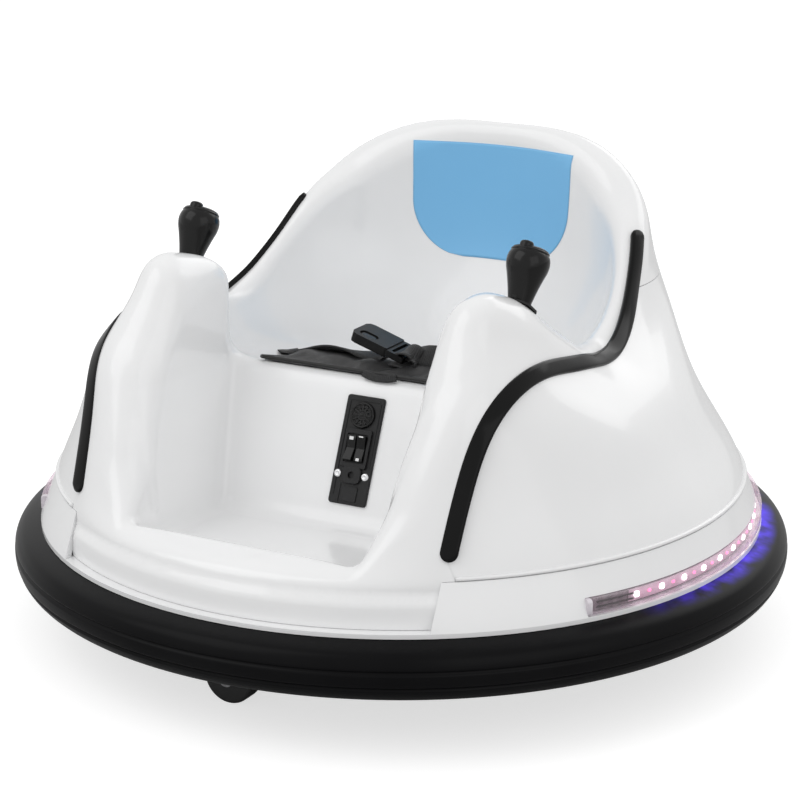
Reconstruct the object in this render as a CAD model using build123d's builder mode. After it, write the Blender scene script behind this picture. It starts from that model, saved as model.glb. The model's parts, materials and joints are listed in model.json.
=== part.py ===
"""Children's ride-on bumper car: a round moulded body on two driven wheels and two swivel casters.

Units are millimetres. Z is up, the floor is z = 0, and the origin is on the bumper ring's axis.
The car faces -Y, so its left side, as the rider sits, is +X.
"""

import math
import os

from build123d import *

# ---- Driving dimensions -----------------------------------------------------------------------
# Bumper ring
RING_OUTER_R = 372.0
RING_INNER_R = 310.0
RING_FOOT_Z = 54.0
RING_TOP_Z = 106.5
RING_RIDGE_Z = 100.5
RING_RIDGE_R = 366.0
RING_LIP_R = 348.0
RING_GROOVE_Z = (71.0, 86.0)
RING_GROOVE_WIDTH = 2.4
RING_GROOVE_DEPTH = 2.0

# Moulded body: one row per horizontal section, from the skirt's foot to the top of the seat back
# columns: height, half width, front reach, back reach, corner radius
BODY_SECTIONS = (
    (104.0, 333.0, 333.0, 333.0, 332.5),
    (150.0, 329.0, 329.0, 329.0, 328.5),
    (165.0, 321.0, 323.0, 321.0, 315.0),
    (182.0, 309.5, 318.0, 311.5, 300.0),
    (200.0, 297.0, 314.0, 301.0, 286.0),
    (223.0, 283.0, 307.5, 284.0, 267.0),
    (247.0, 266.0, 298.0, 267.0, 236.0),
    (272.0, 241.5, 283.5, 255.0, 185.0),
    (297.0, 218.0, 268.0, 250.0, 142.0),
    (320.0, 205.0, 255.0, 251.0, 133.0),
    (343.0, 198.0, 246.0, 252.0, 136.0),
    (376.0, 192.0, 240.0, 246.0, 134.0),
    (410.0, 188.0, 235.0, 238.0, 139.0),
    (447.0, 183.0, 226.0, 228.0, 153.0),
)
BODY_TOP_Z = BODY_SECTIONS[-1][0]
SHELL_WALL = 6.0
SEAM_GAP = 0.4

# Skirt and front sill
SKIRT_FOOT_R = 346.0
SKIRT_TOP_R = 330.0
SKIRT_FLANGE = 4.0
SEAM_Z = 150.0
SILL_TOP_Z = 156.0
SILL_SPLIT_Y = -263.0
SILL_HALF_WIDTH = 187.0

# Crest of the arms and seat back, seen from the side: (y, z, corner radius)
CREST = (
    (-306.0, SILL_TOP_Z, 12.0),
    (-288.0, 166.0, 12.0),
    (-240.0, 296.0, 120.0),
    (-178.0, 373.0, 48.0),
    (-122.0, 366.0, 60.0),
    (-12.0, 294.0, 95.0),
    (92.0, 342.0, 130.0),
    (203.0, 446.0, 32.0),
    (260.0, BODY_TOP_Z, 60.0),
)
HUMP_END, VALLEY = CREST[4], CREST[5]
# Trim strip's centre line on the car's left, from its front end to its high end: (x, y, z)
STRIP_ROUTE = (
    (188.0, -264.0, 166.0),
    (192.0, -241.0, 222.0),
    (200.0, -212.0, 277.0),
    (208.0, -153.0, 306.0),
    (215.0, -74.0, 300.0),
    (216.0, 0.0, 294.0),
    (203.0, 76.0, 323.0),
    (181.0, 134.0, 369.0),
)
STRIP_WIDTH = 13.0
STRIP_PROUD = 2.5
REAR_SEAM_Z = 326.0

# Tub: footwell and seat
FLOOR_Z = 131.0
FLOOR_HALF_WIDTH = 110.0
RISER_FOOT_Y = -148.0
SILL_INNER_Y = -286.0
SEAT_LIP_Y = -92.0
SEAT_LIP_Z = 261.0
SEAT_SLOPE_DEG = 15.5
TUB_HALF_WIDTH = 130.0
TUB_CORNER_R = 14.0
# Seat back bowl, a surface of revolution about the ring's axis: (radius, height)
BOWL = ((112.0, 205.0), (158.0, 250.0), (184.0, 290.0), (196.0, 320.0), (202.0, 360.0), (204.0, 460.0))
BOWL_SEAT_GAP = 12.0
ARM_REAR_Y = -92.0
ARM_REAR_SLANT = (192.0, -44.0)

# Light strips, left one: angles about the ring's axis from the car's left
LENS_START_DEG = -34.0
LENS_END_DEG = 62.0
LENS_FOOT_Z = 111.0
LENS_HEIGHT = 15.0
LENS_OUTER_R = 346.0
LENS_DEPTH = 9.7
LENS_WALL = 2.0
BOARD_DEPTH = 5.0
LENS_GAP = 0.3

# Control panel, measured up the slope of the riser
PANEL_X = 20.0
PANEL_WIDTH = 39.0
PANEL_LENGTH = 101.0
PANEL_THICK = 3.0
PANEL_RISE = 21.8
PANEL_CORNER_R = 3.0
SPEAKER_R = 11.5
SPEAKER_UP = 32.5
SPEAKER_PROUD = 3.0
SWITCH_UP = 1.5
SWITCH_WIDTH = 24.0
SWITCH_LENGTH = 33.0
SWITCH_PROUD = 2.0
ROCKER_WIDTH = 8.5
ROCKER_LENGTH = 23.0
ROCKER_PITCH = 10.0
ROCKER_PROUD = 4.0
PORT_UP = -23.0
PORT_WIDTH = 19.0
PORT_LENGTH = 15.0
PORT_PROUD = 2.5
PORT_BORE = 5.5

# Levers: heights run along the leaning lever, up from its pivot
LEVER_X = 172.0
LEVER_Y = -109.0
LEVER_PIVOT_Z = 332.0
LEVER_LEAN_DEG = 27.0
NECK_R = 9.0
KNOB_FOOT = 20.0
KNOB_FOOT_R = 10.2
KNOB_TAPER_TOP = 51.0
KNOB_TAPER_R = 18.8
KNOB_WIDEST = 56.0
KNOB_R = 19.5
CAP_SEAM = 66.0
CAP_SEAM_R = 16.5
CAP_STEP = 1.0
KNOB_TOP = 72.0
KNOB_CROWN_R = 11.0
BUTTON_FORWARD = 8.0
BUTTON_R = 6.5
BUTTON_HEIGHT = 4.0
PIVOT_R = 4.0
PIVOT_SPAN = 34.0
WELL_WIDTH = 26.0
WELL_LENGTH = 35.0
WELL_DEPTH = 34.0
PLATE_THICK = 2.0
PLATE_DEPTH = 3.0
PLATE_MARGIN = 1.5
SLOT_WIDTH = 23.0
SLOT_LENGTH = 30.0

# Seat pad and lap belt, measured on the sloping seat
PAD_HALF_WIDTH = 106.0
PAD_DEPTH = 155.0
PAD_FRONT_SETBACK = 3.0
PAD_EDGE = 3.0
PAD_THICK = 12.0
PAD_CROWN_INSET = 30.0
PAD_FRONT_R = 10.0
PAD_REAR_R = 58.0
PAD_CROWN_REAR_R = 20.0
BELT_BACK = 45.0
BELT_WIDTH = 25.0
BELT_THICK = 2.0
BELT_OVERLAP = 22.0
# The buckle rests on its low end, at the rider's left, and its high end stands off the pad
BUCKLE_LOW_X = 30.0
BUCKLE_Y = -41.5
BUCKLE_LOW_Z = 265.0
BUCKLE_TILT_DEG = 18.0
BUCKLE_LENGTH = 57.0
BUCKLE_WIDTH = 36.0
BUCKLE_THICK = 9.5
BUCKLE_CORNER_R = 3.0
TONGUE_LENGTH = 14.0

# Driven wheels
DRIVE_R = 55.0
DRIVE_WIDTH = 34.0
DRIVE_X = 200.0
TYRE_THICK = 9.0
HUB_SPOKE_HOLES = 5
AXLE_R = 5.0
AXLE_REACH = 24.0
GEARBOX_GAP = 2.0
GEARBOX_WIDTH = 32.0
GEARBOX_LENGTH = 66.0
GEARBOX_FOOT_Z = 34.0
GEARBOX_TOP_Z = 104.0
WHEEL_CLEARANCE = 5.0
RUNNING_CLEARANCE = 0.05
SEAT_CLEARANCE = 0.3

# Swivel casters, one in front and one behind
CASTER_Y = 270.0
CASTER_WHEEL_R = 25.0
CASTER_WHEEL_WIDTH = 20.0
CASTER_TRAIL = 22.0
CASTER_PLATE = 52.0
CASTER_PLATE_THICK = 3.0
CASTER_BOSS_R = 15.0
CASTER_CROWN_THICK = 5.5
CASTER_CROWN_LIFT = 2.5
CASTER_FORK_THICK = 3.0
CASTER_KINGPIN_R = 4.0
CASTER_AXLE_R = 3.0

# Base tray
TRAY_FOOT_Z = 72.0
TRAY_THICK = 4.0
TRAY_WALL = 6.0
TRAY_R = RING_INNER_R - SEAT_CLEARANCE

# Battery, under the seat
BATTERY = (100.0, 70.0, 94.0)
BATTERY_Y = 30.0

REACH = 2 * RING_OUTER_R
sill_foot_z = RING_TOP_Z + SKIRT_FLANGE
RISER_LEAN_DEG = math.degrees(math.atan2(SEAT_LIP_Y - RISER_FOOT_Y, SEAT_LIP_Z - FLOOR_Z))


def write(part, name):
    """Label a finished piece and write it to its own STEP file."""
    part.label = name
    export_step(part, f"parts/{name}.step")


def write_pair(part, name):
    """Write a piece of the car's left side, and its mirror image on the right."""
    write(part, f"{name}_left")
    write(part.mirror(Plane.YZ), f"{name}_right")


# ---- Construction forms -----------------------------------------------------------------------
def envelope(offset=0.0):
    """The body's outer form, grown by offset: straight runs between rounded rectangles."""
    with BuildPart() as form:
        for height, half_width, front, back, radius in BODY_SECTIONS:
            with BuildSketch(Plane.XY.offset(height)):
                with Locations((0, (back - front) / 2)):
                    RectangleRounded(
                        2 * (half_width + offset), front + back + 2 * offset, radius + offset
                    )
        loft(ruled=True)
    return form.part


def prism_along_x(outline):
    """A side-view outline of (y, z) points pushed both ways along X."""
    with BuildPart() as prism:
        with BuildSketch(Plane.YZ):
            Polygon(*outline, align=None)
        extrude(amount=REACH, both=True)
    return prism.part


def below_crest():
    """Everything under the crest line of the arms and the seat back."""
    corners = [(-REACH, SILL_TOP_Z)] + [(y, z) for y, z, _ in CREST] + [(REACH, BODY_TOP_Z)]
    with BuildPart() as prism:
        with BuildSketch(Plane.YZ):
            with BuildLine():
                crest = FilletPolyline(*corners, radius=[radius for _, _, radius in CREST])
                Polyline(crest @ 1, (REACH, 0), (-REACH, 0), crest @ 0)
            make_face()
        extrude(amount=REACH, both=True)
    return prism.part


def above_seam():
    """The seat shell's side of the seam: above the trim strips, and the whole front sill."""
    rise = [(y, z) for _, y, z in STRIP_ROUTE if y < 0 or z < REAR_SEAM_Z]
    outline = [(-REACH, sill_foot_z + SEAM_GAP), (SILL_SPLIT_Y, sill_foot_z + SEAM_GAP)] + rise
    outline += [(rise[-1][0] + 6, REAR_SEAM_Z), (REACH, REAR_SEAM_Z), (REACH, REACH), (-REACH, REACH)]
    with BuildPart() as side:
        add(prism_along_x(outline))
        sill_side = (REACH - SILL_HALF_WIDTH) / 2
        for way in (-1, 1):
            with Locations((way * (SILL_HALF_WIDTH + sill_side), 0, 0)):
                Box(
                    2 * sill_side, 2 * REACH, SEAM_Z + SEAM_GAP,
                    align=(Align.CENTER, Align.CENTER, Align.MIN), mode=Mode.SUBTRACT,
                )
    return side.part


def footwell(wall=0.0):
    """Footwell, tapering down to the floor, grown by a wall."""
    front = SILL_INNER_Y - wall
    with BuildPart() as space:
        for height, half_width, back in (
            (FLOOR_Z - wall, FLOOR_HALF_WIDTH + wall, RISER_FOOT_Y + wall),
            (SEAT_LIP_Z, TUB_HALF_WIDTH + wall, SEAT_LIP_Y + wall),
        ):
            with BuildSketch(Plane.XY.offset(height)) as section:
                with Locations((0, (front + back) / 2)):
                    RectangleRounded(2 * half_width, back - front, TUB_CORNER_R + wall)
        loft()
        extrude(section.sketch, amount=REACH)
    return space.part


def doorway():
    """The open front between the arms, above the sill."""
    middle = SILL_INNER_Y + 2 * TUB_CORNER_R - REACH / 2
    with BuildPart() as space:
        for height, half_width in (
            (SILL_TOP_Z, FLOOR_HALF_WIDTH + 4),
            (SEAT_LIP_Z, TUB_HALF_WIDTH),
        ):
            with BuildSketch(Plane.XY.offset(height)) as section:
                with Locations((0, middle)):
                    Rectangle(2 * half_width, REACH)
        loft()
        extrude(section.sketch, amount=REACH)
    return space.part


def seat_height(y, drop=0.0):
    """Height of the sloping seat at a given y."""
    return SEAT_LIP_Z - math.tan(math.radians(SEAT_SLOPE_DEG)) * (y - SEAT_LIP_Y) - drop


def seat_space(wall=0.0):
    """The bowl of the seat and its back, above the sloping seat, grown by a wall."""
    bowl_front = SEAT_LIP_Y - BOWL_SEAT_GAP - wall
    slant_x, slant_y = ARM_REAR_SLANT
    with BuildPart() as space:
        with BuildSketch(Plane.XZ):
            rim = [(radius + wall, height) for radius, height in BOWL]
            Polygon((0, BOWL[0][1]), *rim, (0, BOWL[-1][1]), align=None)
        revolve(axis=Axis.Z)
        add(
            prism_along_x([
                (bowl_front, seat_height(bowl_front, wall)), (REACH, seat_height(REACH, wall)),
                (REACH, REACH), (bowl_front, REACH),
            ]),
            mode=Mode.INTERSECT,
        )
        with BuildSketch(Plane.XY):
            Polygon(
                (TUB_HALF_WIDTH, ARM_REAR_Y - wall), (slant_x, slant_y - wall),
                (REACH, slant_y - wall), (REACH, -REACH), (TUB_HALF_WIDTH, -REACH), align=None,
            )
            mirror(about=Plane.YZ)
        extrude(amount=REACH, mode=Mode.SUBTRACT)
    return space.part


def strip_bar():
    """A round bar along the trim strip's route, with round ends."""
    points = [Vector(*point) for point in STRIP_ROUTE]
    radii = []
    for before, here, after in zip(points[:-2], points[1:-1], points[2:]):
        half_turn = math.radians((here - before).get_angle(after - here)) / 2
        run = min((here - before).length, (after - here).length)
        radii.append(0.45 * run / math.tan(half_turn))
    with BuildPart() as bar:
        with BuildLine() as route:
            FilletPolyline(*points, radius=radii)
        with BuildSketch(Plane(origin=route.line @ 0, z_dir=route.line % 0)):
            Circle(STRIP_WIDTH / 2)
        sweep(path=route.line)
        with Locations(points[0], points[-1]):
            Sphere(STRIP_WIDTH / 2)
    return bar.part


def lever_wells():
    """The well that each lever swings in, its pivot's bores and the recess of its slot plate."""
    with BuildPart() as well:
        with BuildSketch(arm_top(-WELL_DEPTH)):
            RectangleRounded(WELL_WIDTH, WELL_LENGTH, WELL_WIDTH / 2 - 1)
        extrude(amount=REACH)
        with Locations(Plane(origin=lever_frame.origin, z_dir=(1, 0, 0))):
            Cylinder(PIVOT_R + RUNNING_CLEARANCE, PIVOT_SPAN + SEAT_CLEARANCE)
        with BuildSketch(arm_top(-PLATE_DEPTH)):
            slot_plate_outline()
        extrude(amount=-PLATE_THICK)
        mirror(about=Plane.YZ)
    return well.part


def arm_top(lift=0.0):
    """The sloping top of the arm where the left lever comes through: local y runs down the slope."""
    fall = math.atan2(HUMP_END[1] - VALLEY[1], VALLEY[0] - HUMP_END[0])
    level = HUMP_END[1] - (LEVER_Y - HUMP_END[0]) * math.tan(fall) - LEVER_PIVOT_Z
    along = level / (math.cos(lever_lean) + math.sin(lever_lean) * math.tan(fall))
    surface = Plane(
        origin=lever_frame.offset(along).origin, x_dir=(1, 0, 0),
        z_dir=(0, math.sin(fall), math.cos(fall)),
    )
    return surface.offset(lift)


def slot_plate_outline():
    """Outline of a lever's slot plate, in a sketch on the arm's top."""
    RectangleRounded(
        WELL_WIDTH + 2 * PLATE_MARGIN, WELL_LENGTH + 2 * PLATE_MARGIN, WELL_WIDTH / 2
    )


lever_lean = math.radians(LEVER_LEAN_DEG)
lever_frame = Plane(
    origin=(LEVER_X, LEVER_Y, LEVER_PIVOT_Z), x_dir=(1, 0, 0),
    z_dir=(0, math.sin(lever_lean), math.cos(lever_lean)),
)

os.makedirs("parts", exist_ok=True)

# ---- Moulded shells ---------------------------------------------------------------------------
body_form = envelope()
inner_form = envelope(-SHELL_WALL)
proud_form = envelope(STRIP_PROUD)
seat_side = above_seam()

with BuildPart() as trim_bar:
    add(strip_bar())
    add(proud_form, mode=Mode.INTERSECT)
write_pair(trim_bar.part, "trim_strip")

with BuildPart() as seat_shell:
    add(seat_space(SHELL_WALL))
    add(footwell(SHELL_WALL))
    add(inner_form, mode=Mode.INTERSECT)
    with BuildPart(mode=Mode.PRIVATE) as upper_form:
        add(body_form)
        add(seat_side, mode=Mode.INTERSECT)
    add(upper_form.part)
    add(below_crest(), mode=Mode.INTERSECT)
    add(seat_space(), mode=Mode.SUBTRACT)
    add(footwell(), mode=Mode.SUBTRACT)
    add(doorway(), mode=Mode.SUBTRACT)
    add(lever_wells(), mode=Mode.SUBTRACT)
    add(trim_bar.part, mode=Mode.SUBTRACT)
    add(trim_bar.part.mirror(Plane.YZ), mode=Mode.SUBTRACT)
write(seat_shell.part.solids().sort_by(SortBy.VOLUME)[-1], "seat_shell")

with BuildPart() as outer_shell:
    add(body_form)
    add(inner_form, mode=Mode.SUBTRACT)
    add(seat_side, mode=Mode.SUBTRACT)
    Box(
        2 * REACH, 2 * REACH, SEAM_Z + SEAM_GAP,
        align=(Align.CENTER, Align.CENTER, Align.MIN), mode=Mode.SUBTRACT,
    )
    add(trim_bar.part, mode=Mode.SUBTRACT)
    add(trim_bar.part.mirror(Plane.YZ), mode=Mode.SUBTRACT)
write(outer_shell.part.solids().sort_by(SortBy.VOLUME)[-1], "outer_shell")

# ---- Base: ring, skirt and tray ---------------------------------------------------------------
with BuildPart() as bumper_ring:
    with BuildSketch(Plane.XZ):
        Polygon(
            (RING_INNER_R + 4, RING_FOOT_Z), (RING_RIDGE_R - 16, RING_FOOT_Z),
            (RING_RIDGE_R - 2, RING_FOOT_Z + 7), (RING_OUTER_R - 1, RING_FOOT_Z + 17),
            (RING_OUTER_R, (RING_GROOVE_Z[0] + RING_GROOVE_Z[1]) / 2), (RING_OUTER_R - 1, RING_RIDGE_Z - 9),
            (RING_RIDGE_R, RING_RIDGE_Z), (RING_LIP_R, RING_TOP_Z), (RING_INNER_R, RING_TOP_Z),
            (RING_INNER_R, RING_FOOT_Z + 4), align=None,
        )
        for height in RING_GROOVE_Z:
            with Locations((RING_OUTER_R, height)):
                Rectangle(2 * RING_GROOVE_DEPTH + 2, RING_GROOVE_WIDTH, mode=Mode.SUBTRACT)
    revolve(axis=Axis.Z)
write(bumper_ring.part, "bumper_ring")


def lens_band(inner_r, outer_r, foot_z, top_z):
    """A flat-sided band round the ring's axis, along the left light strip."""
    start = math.radians(LENS_START_DEG)
    section = Plane(
        origin=(0, 0, 0), x_dir=(math.cos(start), math.sin(start), 0),
        z_dir=(math.sin(start), -math.cos(start), 0),
    )
    with BuildPart() as band:
        with BuildSketch(section):
            with Locations(((inner_r + outer_r) / 2, (foot_z + top_z) / 2)):
                Rectangle(outer_r - inner_r, top_z - foot_z)
        revolve(axis=Axis.Z, revolution_arc=LENS_END_DEG - LENS_START_DEG)
    return band.part


lens_top_z = LENS_FOOT_Z + LENS_HEIGHT
lens_inner_r = LENS_OUTER_R - LENS_DEPTH
with BuildPart() as led_lens:
    add(lens_band(lens_inner_r, LENS_OUTER_R, LENS_FOOT_Z, lens_top_z))
    add(
        lens_band(
            lens_inner_r, LENS_OUTER_R - LENS_WALL, LENS_FOOT_Z + LENS_WALL, lens_top_z - LENS_WALL
        ),
        mode=Mode.SUBTRACT,
    )
write_pair(led_lens.part, "led_lens")
write_pair(
    lens_band(
        lens_inner_r - SEAT_CLEARANCE - BOARD_DEPTH, lens_inner_r - SEAT_CLEARANCE,
        LENS_FOOT_Z, lens_top_z,
    ),
    "led_board",
)

light_slot = lens_band(
    lens_inner_r - BOARD_DEPTH - 2 * LENS_GAP, REACH, LENS_FOOT_Z - LENS_GAP, lens_top_z + LENS_GAP
)
with BuildPart() as base_skirt:
    with BuildSketch(Plane.XZ):
        Polygon(
            (TRAY_R - TRAY_WALL, RING_TOP_Z), (SKIRT_FOOT_R, RING_TOP_Z),
            (SKIRT_FOOT_R, RING_TOP_Z + SKIRT_FLANGE), (SKIRT_TOP_R, SEAM_Z),
            (SKIRT_TOP_R - SHELL_WALL, SEAM_Z), (SKIRT_FOOT_R - SHELL_WALL - 2, RING_TOP_Z + SKIRT_FLANGE),
            (TRAY_R - TRAY_WALL, RING_TOP_Z + SKIRT_FLANGE), align=None,
        )
    revolve(axis=Axis.Z)
    with Locations((0, -REACH / 2, sill_foot_z)):
        Box(
            2 * SILL_HALF_WIDTH, REACH, REACH,
            align=(Align.CENTER, Align.CENTER, Align.MIN), mode=Mode.SUBTRACT,
        )
    add(light_slot, mode=Mode.SUBTRACT)
    add(light_slot.mirror(Plane.YZ), mode=Mode.SUBTRACT)
write(base_skirt.part, "base_skirt")

wheel_well_width = DRIVE_WIDTH + 2 * WHEEL_CLEARANCE
gearbox_x = DRIVE_X - DRIVE_WIDTH / 2 - GEARBOX_GAP - GEARBOX_WIDTH / 2
with BuildPart() as base_tray:
    with BuildSketch(Plane.XZ):
        Polygon(
            (0, TRAY_FOOT_Z), (TRAY_R, TRAY_FOOT_Z), (TRAY_R, RING_TOP_Z),
            (TRAY_R - TRAY_WALL, RING_TOP_Z), (TRAY_R - TRAY_WALL, TRAY_FOOT_Z + TRAY_THICK),
            (0, TRAY_FOOT_Z + TRAY_THICK), align=None,
        )
    revolve(axis=Axis.Z)
    with BuildSketch(Plane.XY.offset(TRAY_FOOT_Z)):
        for way in (-1, 1):
            with Locations((way * DRIVE_X, 0)):
                RectangleRounded(wheel_well_width, 2 * (DRIVE_R + WHEEL_CLEARANCE), 6)
            with Locations((way * gearbox_x, 0)):
                Rectangle(GEARBOX_WIDTH + 2 * SEAT_CLEARANCE, GEARBOX_LENGTH + 2 * SEAT_CLEARANCE)
    extrude(amount=TRAY_THICK, mode=Mode.SUBTRACT)
write(base_tray.part, "base_tray")

# ---- Control panel ----------------------------------------------------------------------------
panel_up = PANEL_RISE + PANEL_LENGTH / 2
riser_lean = math.radians(RISER_LEAN_DEG)
riser_normal = (0, -math.cos(riser_lean), math.sin(riser_lean))
panel_face = Plane(
    origin=(
        PANEL_X,
        RISER_FOOT_Y + panel_up * math.sin(riser_lean),
        FLOOR_Z + panel_up * math.cos(riser_lean),
    ),
    x_dir=(1, 0, 0),
    z_dir=riser_normal,
)
panel_top = panel_face.offset(PANEL_THICK)

with BuildPart() as control_panel:
    with BuildSketch(panel_face):
        RectangleRounded(PANEL_WIDTH, PANEL_LENGTH, PANEL_CORNER_R)
    extrude(amount=PANEL_THICK)
write(control_panel.part, "control_panel")

with BuildPart() as speaker:
    with BuildSketch(panel_top):
        with Locations((0, SPEAKER_UP)):
            Circle(SPEAKER_R)
    extrude(amount=SPEAKER_PROUD, taper=20)
write(speaker.part, "speaker")

with BuildPart() as switch_housing:
    with BuildSketch(panel_top):
        with Locations((0, SWITCH_UP)):
            RectangleRounded(SWITCH_WIDTH, SWITCH_LENGTH, 1.5)
            for way in (-1, 1):
                with Locations((way * ROCKER_PITCH / 2, 0)):
                    Rectangle(
                        ROCKER_WIDTH + 2 * SEAT_CLEARANCE, ROCKER_LENGTH + 2 * SEAT_CLEARANCE,
                        mode=Mode.SUBTRACT,
                    )
    extrude(amount=SWITCH_PROUD)
write(switch_housing.part, "switch_housing")

for way, name in ((-1, "light_rocker"), (1, "power_rocker")):
    with BuildPart() as rocker:
        with BuildSketch(Plane(panel_top.origin, x_dir=panel_top.z_dir, z_dir=(1, 0, 0))):
            with Locations((0, -SWITCH_UP)):
                Polygon(
                    (0, -ROCKER_LENGTH / 2), (ROCKER_PROUD, -ROCKER_LENGTH / 2),
                    (ROCKER_PROUD - 2, 0), (ROCKER_PROUD - 1, ROCKER_LENGTH / 2),
                    (0, ROCKER_LENGTH / 2), align=None,
                )
        extrude(amount=ROCKER_WIDTH / 2, both=True)
    write(rocker.part.translate((way * ROCKER_PITCH / 2, 0, 0)), name)

with BuildPart() as charge_port:
    with BuildSketch(panel_top):
        with Locations((0, PORT_UP)):
            RectangleRounded(PORT_WIDTH, PORT_LENGTH, 4)
    extrude(amount=PORT_PROUD)
    with BuildSketch(panel_top.offset(PORT_PROUD)):
        with Locations((0, PORT_UP)):
            Circle(PORT_BORE / 2)
    extrude(amount=-PORT_PROUD, mode=Mode.SUBTRACT)
write(charge_port.part, "charge_port")

# ---- Levers -----------------------------------------------------------------------------------
with BuildPart() as slot_plate:
    with BuildSketch(arm_top(-PLATE_DEPTH)):
        slot_plate_outline()
        RectangleRounded(SLOT_WIDTH, SLOT_LENGTH, SLOT_WIDTH / 2 - 1, mode=Mode.SUBTRACT)
    extrude(amount=-PLATE_THICK)
write_pair(slot_plate.part, "lever_slot_plate")

with BuildPart() as lever_stem:
    with BuildSketch(lever_frame):
        Circle(NECK_R)
    extrude(amount=KNOB_FOOT)
    with Locations(lever_frame):
        Sphere(NECK_R)
    with Locations(Plane(origin=lever_frame.origin, z_dir=(1, 0, 0))):
        Cylinder(PIVOT_R, PIVOT_SPAN)
write_pair(lever_stem.part, "lever_stem")

lever_side = Plane(origin=lever_frame.origin, x_dir=(1, 0, 0), z_dir=-lever_frame.y_dir)
with BuildPart() as lever_knob:
    with BuildSketch(lever_side):
        with BuildLine():
            widest = (KNOB_R, KNOB_WIDEST)
            TangentArc(widest, (KNOB_TAPER_R, KNOB_TAPER_TOP), tangent=(0, -1))
            Line((KNOB_TAPER_R, KNOB_TAPER_TOP), (KNOB_FOOT_R, KNOB_FOOT))
            TangentArc(widest, (CAP_SEAM_R, CAP_SEAM), tangent=(0, 1))
            Polyline(
                (CAP_SEAM_R, CAP_SEAM), (CAP_SEAM_R - CAP_STEP, CAP_SEAM),
                (CAP_SEAM_R - 2 * CAP_STEP, CAP_SEAM + 2 * CAP_STEP), (KNOB_CROWN_R, KNOB_TOP),
                (0, KNOB_TOP), (0, KNOB_FOOT), (KNOB_FOOT_R, KNOB_FOOT),
            )
        make_face()
    revolve(axis=Axis(lever_frame.origin, lever_frame.z_dir))
write_pair(lever_knob.part, "lever_knob")

with BuildPart() as lever_button:
    with BuildSketch(lever_frame.offset(KNOB_TOP)):
        with Locations((0, -BUTTON_FORWARD)):
            Circle(BUTTON_R)
    extrude(amount=BUTTON_HEIGHT)
    fillet(lever_button.faces().sort_by(Axis(lever_frame.origin, lever_frame.z_dir))[-1].edges(), 3)
write_pair(lever_button.part, "lever_button")

# ---- Seat pad and lap belt --------------------------------------------------------------------
seat_slope = math.radians(SEAT_SLOPE_DEG)
seat_plane = Plane(
    origin=(0, SEAT_LIP_Y, SEAT_LIP_Z), x_dir=(1, 0, 0),
    z_dir=(0, math.sin(seat_slope), math.cos(seat_slope)),
)
pad_crown = SEAT_CLEARANCE + PAD_THICK
with BuildPart() as seat_pad:
    for height, inset, rear_radius in (
        (SEAT_CLEARANCE + PAD_EDGE, 0, PAD_REAR_R),
        (pad_crown, PAD_CROWN_INSET, PAD_CROWN_REAR_R),
    ):
        with BuildSketch(seat_plane.offset(height)) as section:
            with Locations((0, PAD_FRONT_SETBACK + PAD_DEPTH / 2)):
                Rectangle(2 * (PAD_HALF_WIDTH - inset), PAD_DEPTH - 2 * inset)
            fillet(section.vertices().group_by(Axis.Y)[0], PAD_FRONT_R)
            fillet(section.vertices().group_by(Axis.Y)[-1], rear_radius)
        if inset == 0:
            edge_outline = section.sketch
    loft()
    extrude(edge_outline, amount=-PAD_EDGE)
write(seat_pad.part, "seat_pad")

belt_plane = seat_plane.offset(pad_crown + SEAT_CLEARANCE)
buckle_tilt = math.radians(BUCKLE_TILT_DEG)
high_end_x = BUCKLE_LOW_X - BUCKLE_LENGTH * math.cos(buckle_tilt)
low_face_x = BUCKLE_LOW_X + BUCKLE_THICK * math.sin(buckle_tilt) + SEAT_CLEARANCE
for name, start, end in (
    ("belt_left", low_face_x, REACH),
    ("belt_right", -REACH, high_end_x + BELT_OVERLAP),
):
    with BuildPart() as belt:
        with BuildSketch(belt_plane):
            with Locations(((start + end) / 2, BELT_BACK)):
                Rectangle(end - start, BELT_WIDTH)
        extrude(amount=BELT_THICK)
        add(seat_space(-SEAT_CLEARANCE), mode=Mode.INTERSECT)
    write(belt.part, name)

buckle_plane = Plane(
    origin=(BUCKLE_LOW_X, BUCKLE_Y, BUCKLE_LOW_Z),
    x_dir=(-math.cos(buckle_tilt), 0, math.sin(buckle_tilt)),
    z_dir=(math.sin(buckle_tilt), 0, math.cos(buckle_tilt)),
)
for name, start, end in (
    ("buckle_socket", TONGUE_LENGTH, BUCKLE_LENGTH),
    ("buckle_tongue", 0, TONGUE_LENGTH),
):
    with BuildPart() as half:
        with BuildSketch(buckle_plane):
            with Locations(((start + end) / 2, 0)):
                RectangleRounded(end - start, BUCKLE_WIDTH, BUCKLE_CORNER_R)
        extrude(amount=BUCKLE_THICK)
    write(half.part, name)

# ---- Driven wheels ----------------------------------------------------------------------------
wheel_axis = Axis((0, 0, DRIVE_R), (1, 0, 0))
wheel_inner_x = DRIVE_X - DRIVE_WIDTH / 2
rim_r = DRIVE_R - TYRE_THICK
with BuildPart() as drive_tyre:
    with BuildSketch(Plane.XZ):
        with Locations((DRIVE_X, DRIVE_R + rim_r + TYRE_THICK / 2)):
            Rectangle(DRIVE_WIDTH, TYRE_THICK)
    revolve(axis=wheel_axis)
    outer_edges = drive_tyre.edges().filter_by(GeomType.CIRCLE).sort_by(SortBy.RADIUS)[-2:]
    fillet(outer_edges, TYRE_THICK / 3)
write_pair(drive_tyre.part, "drive_tyre")

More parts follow.
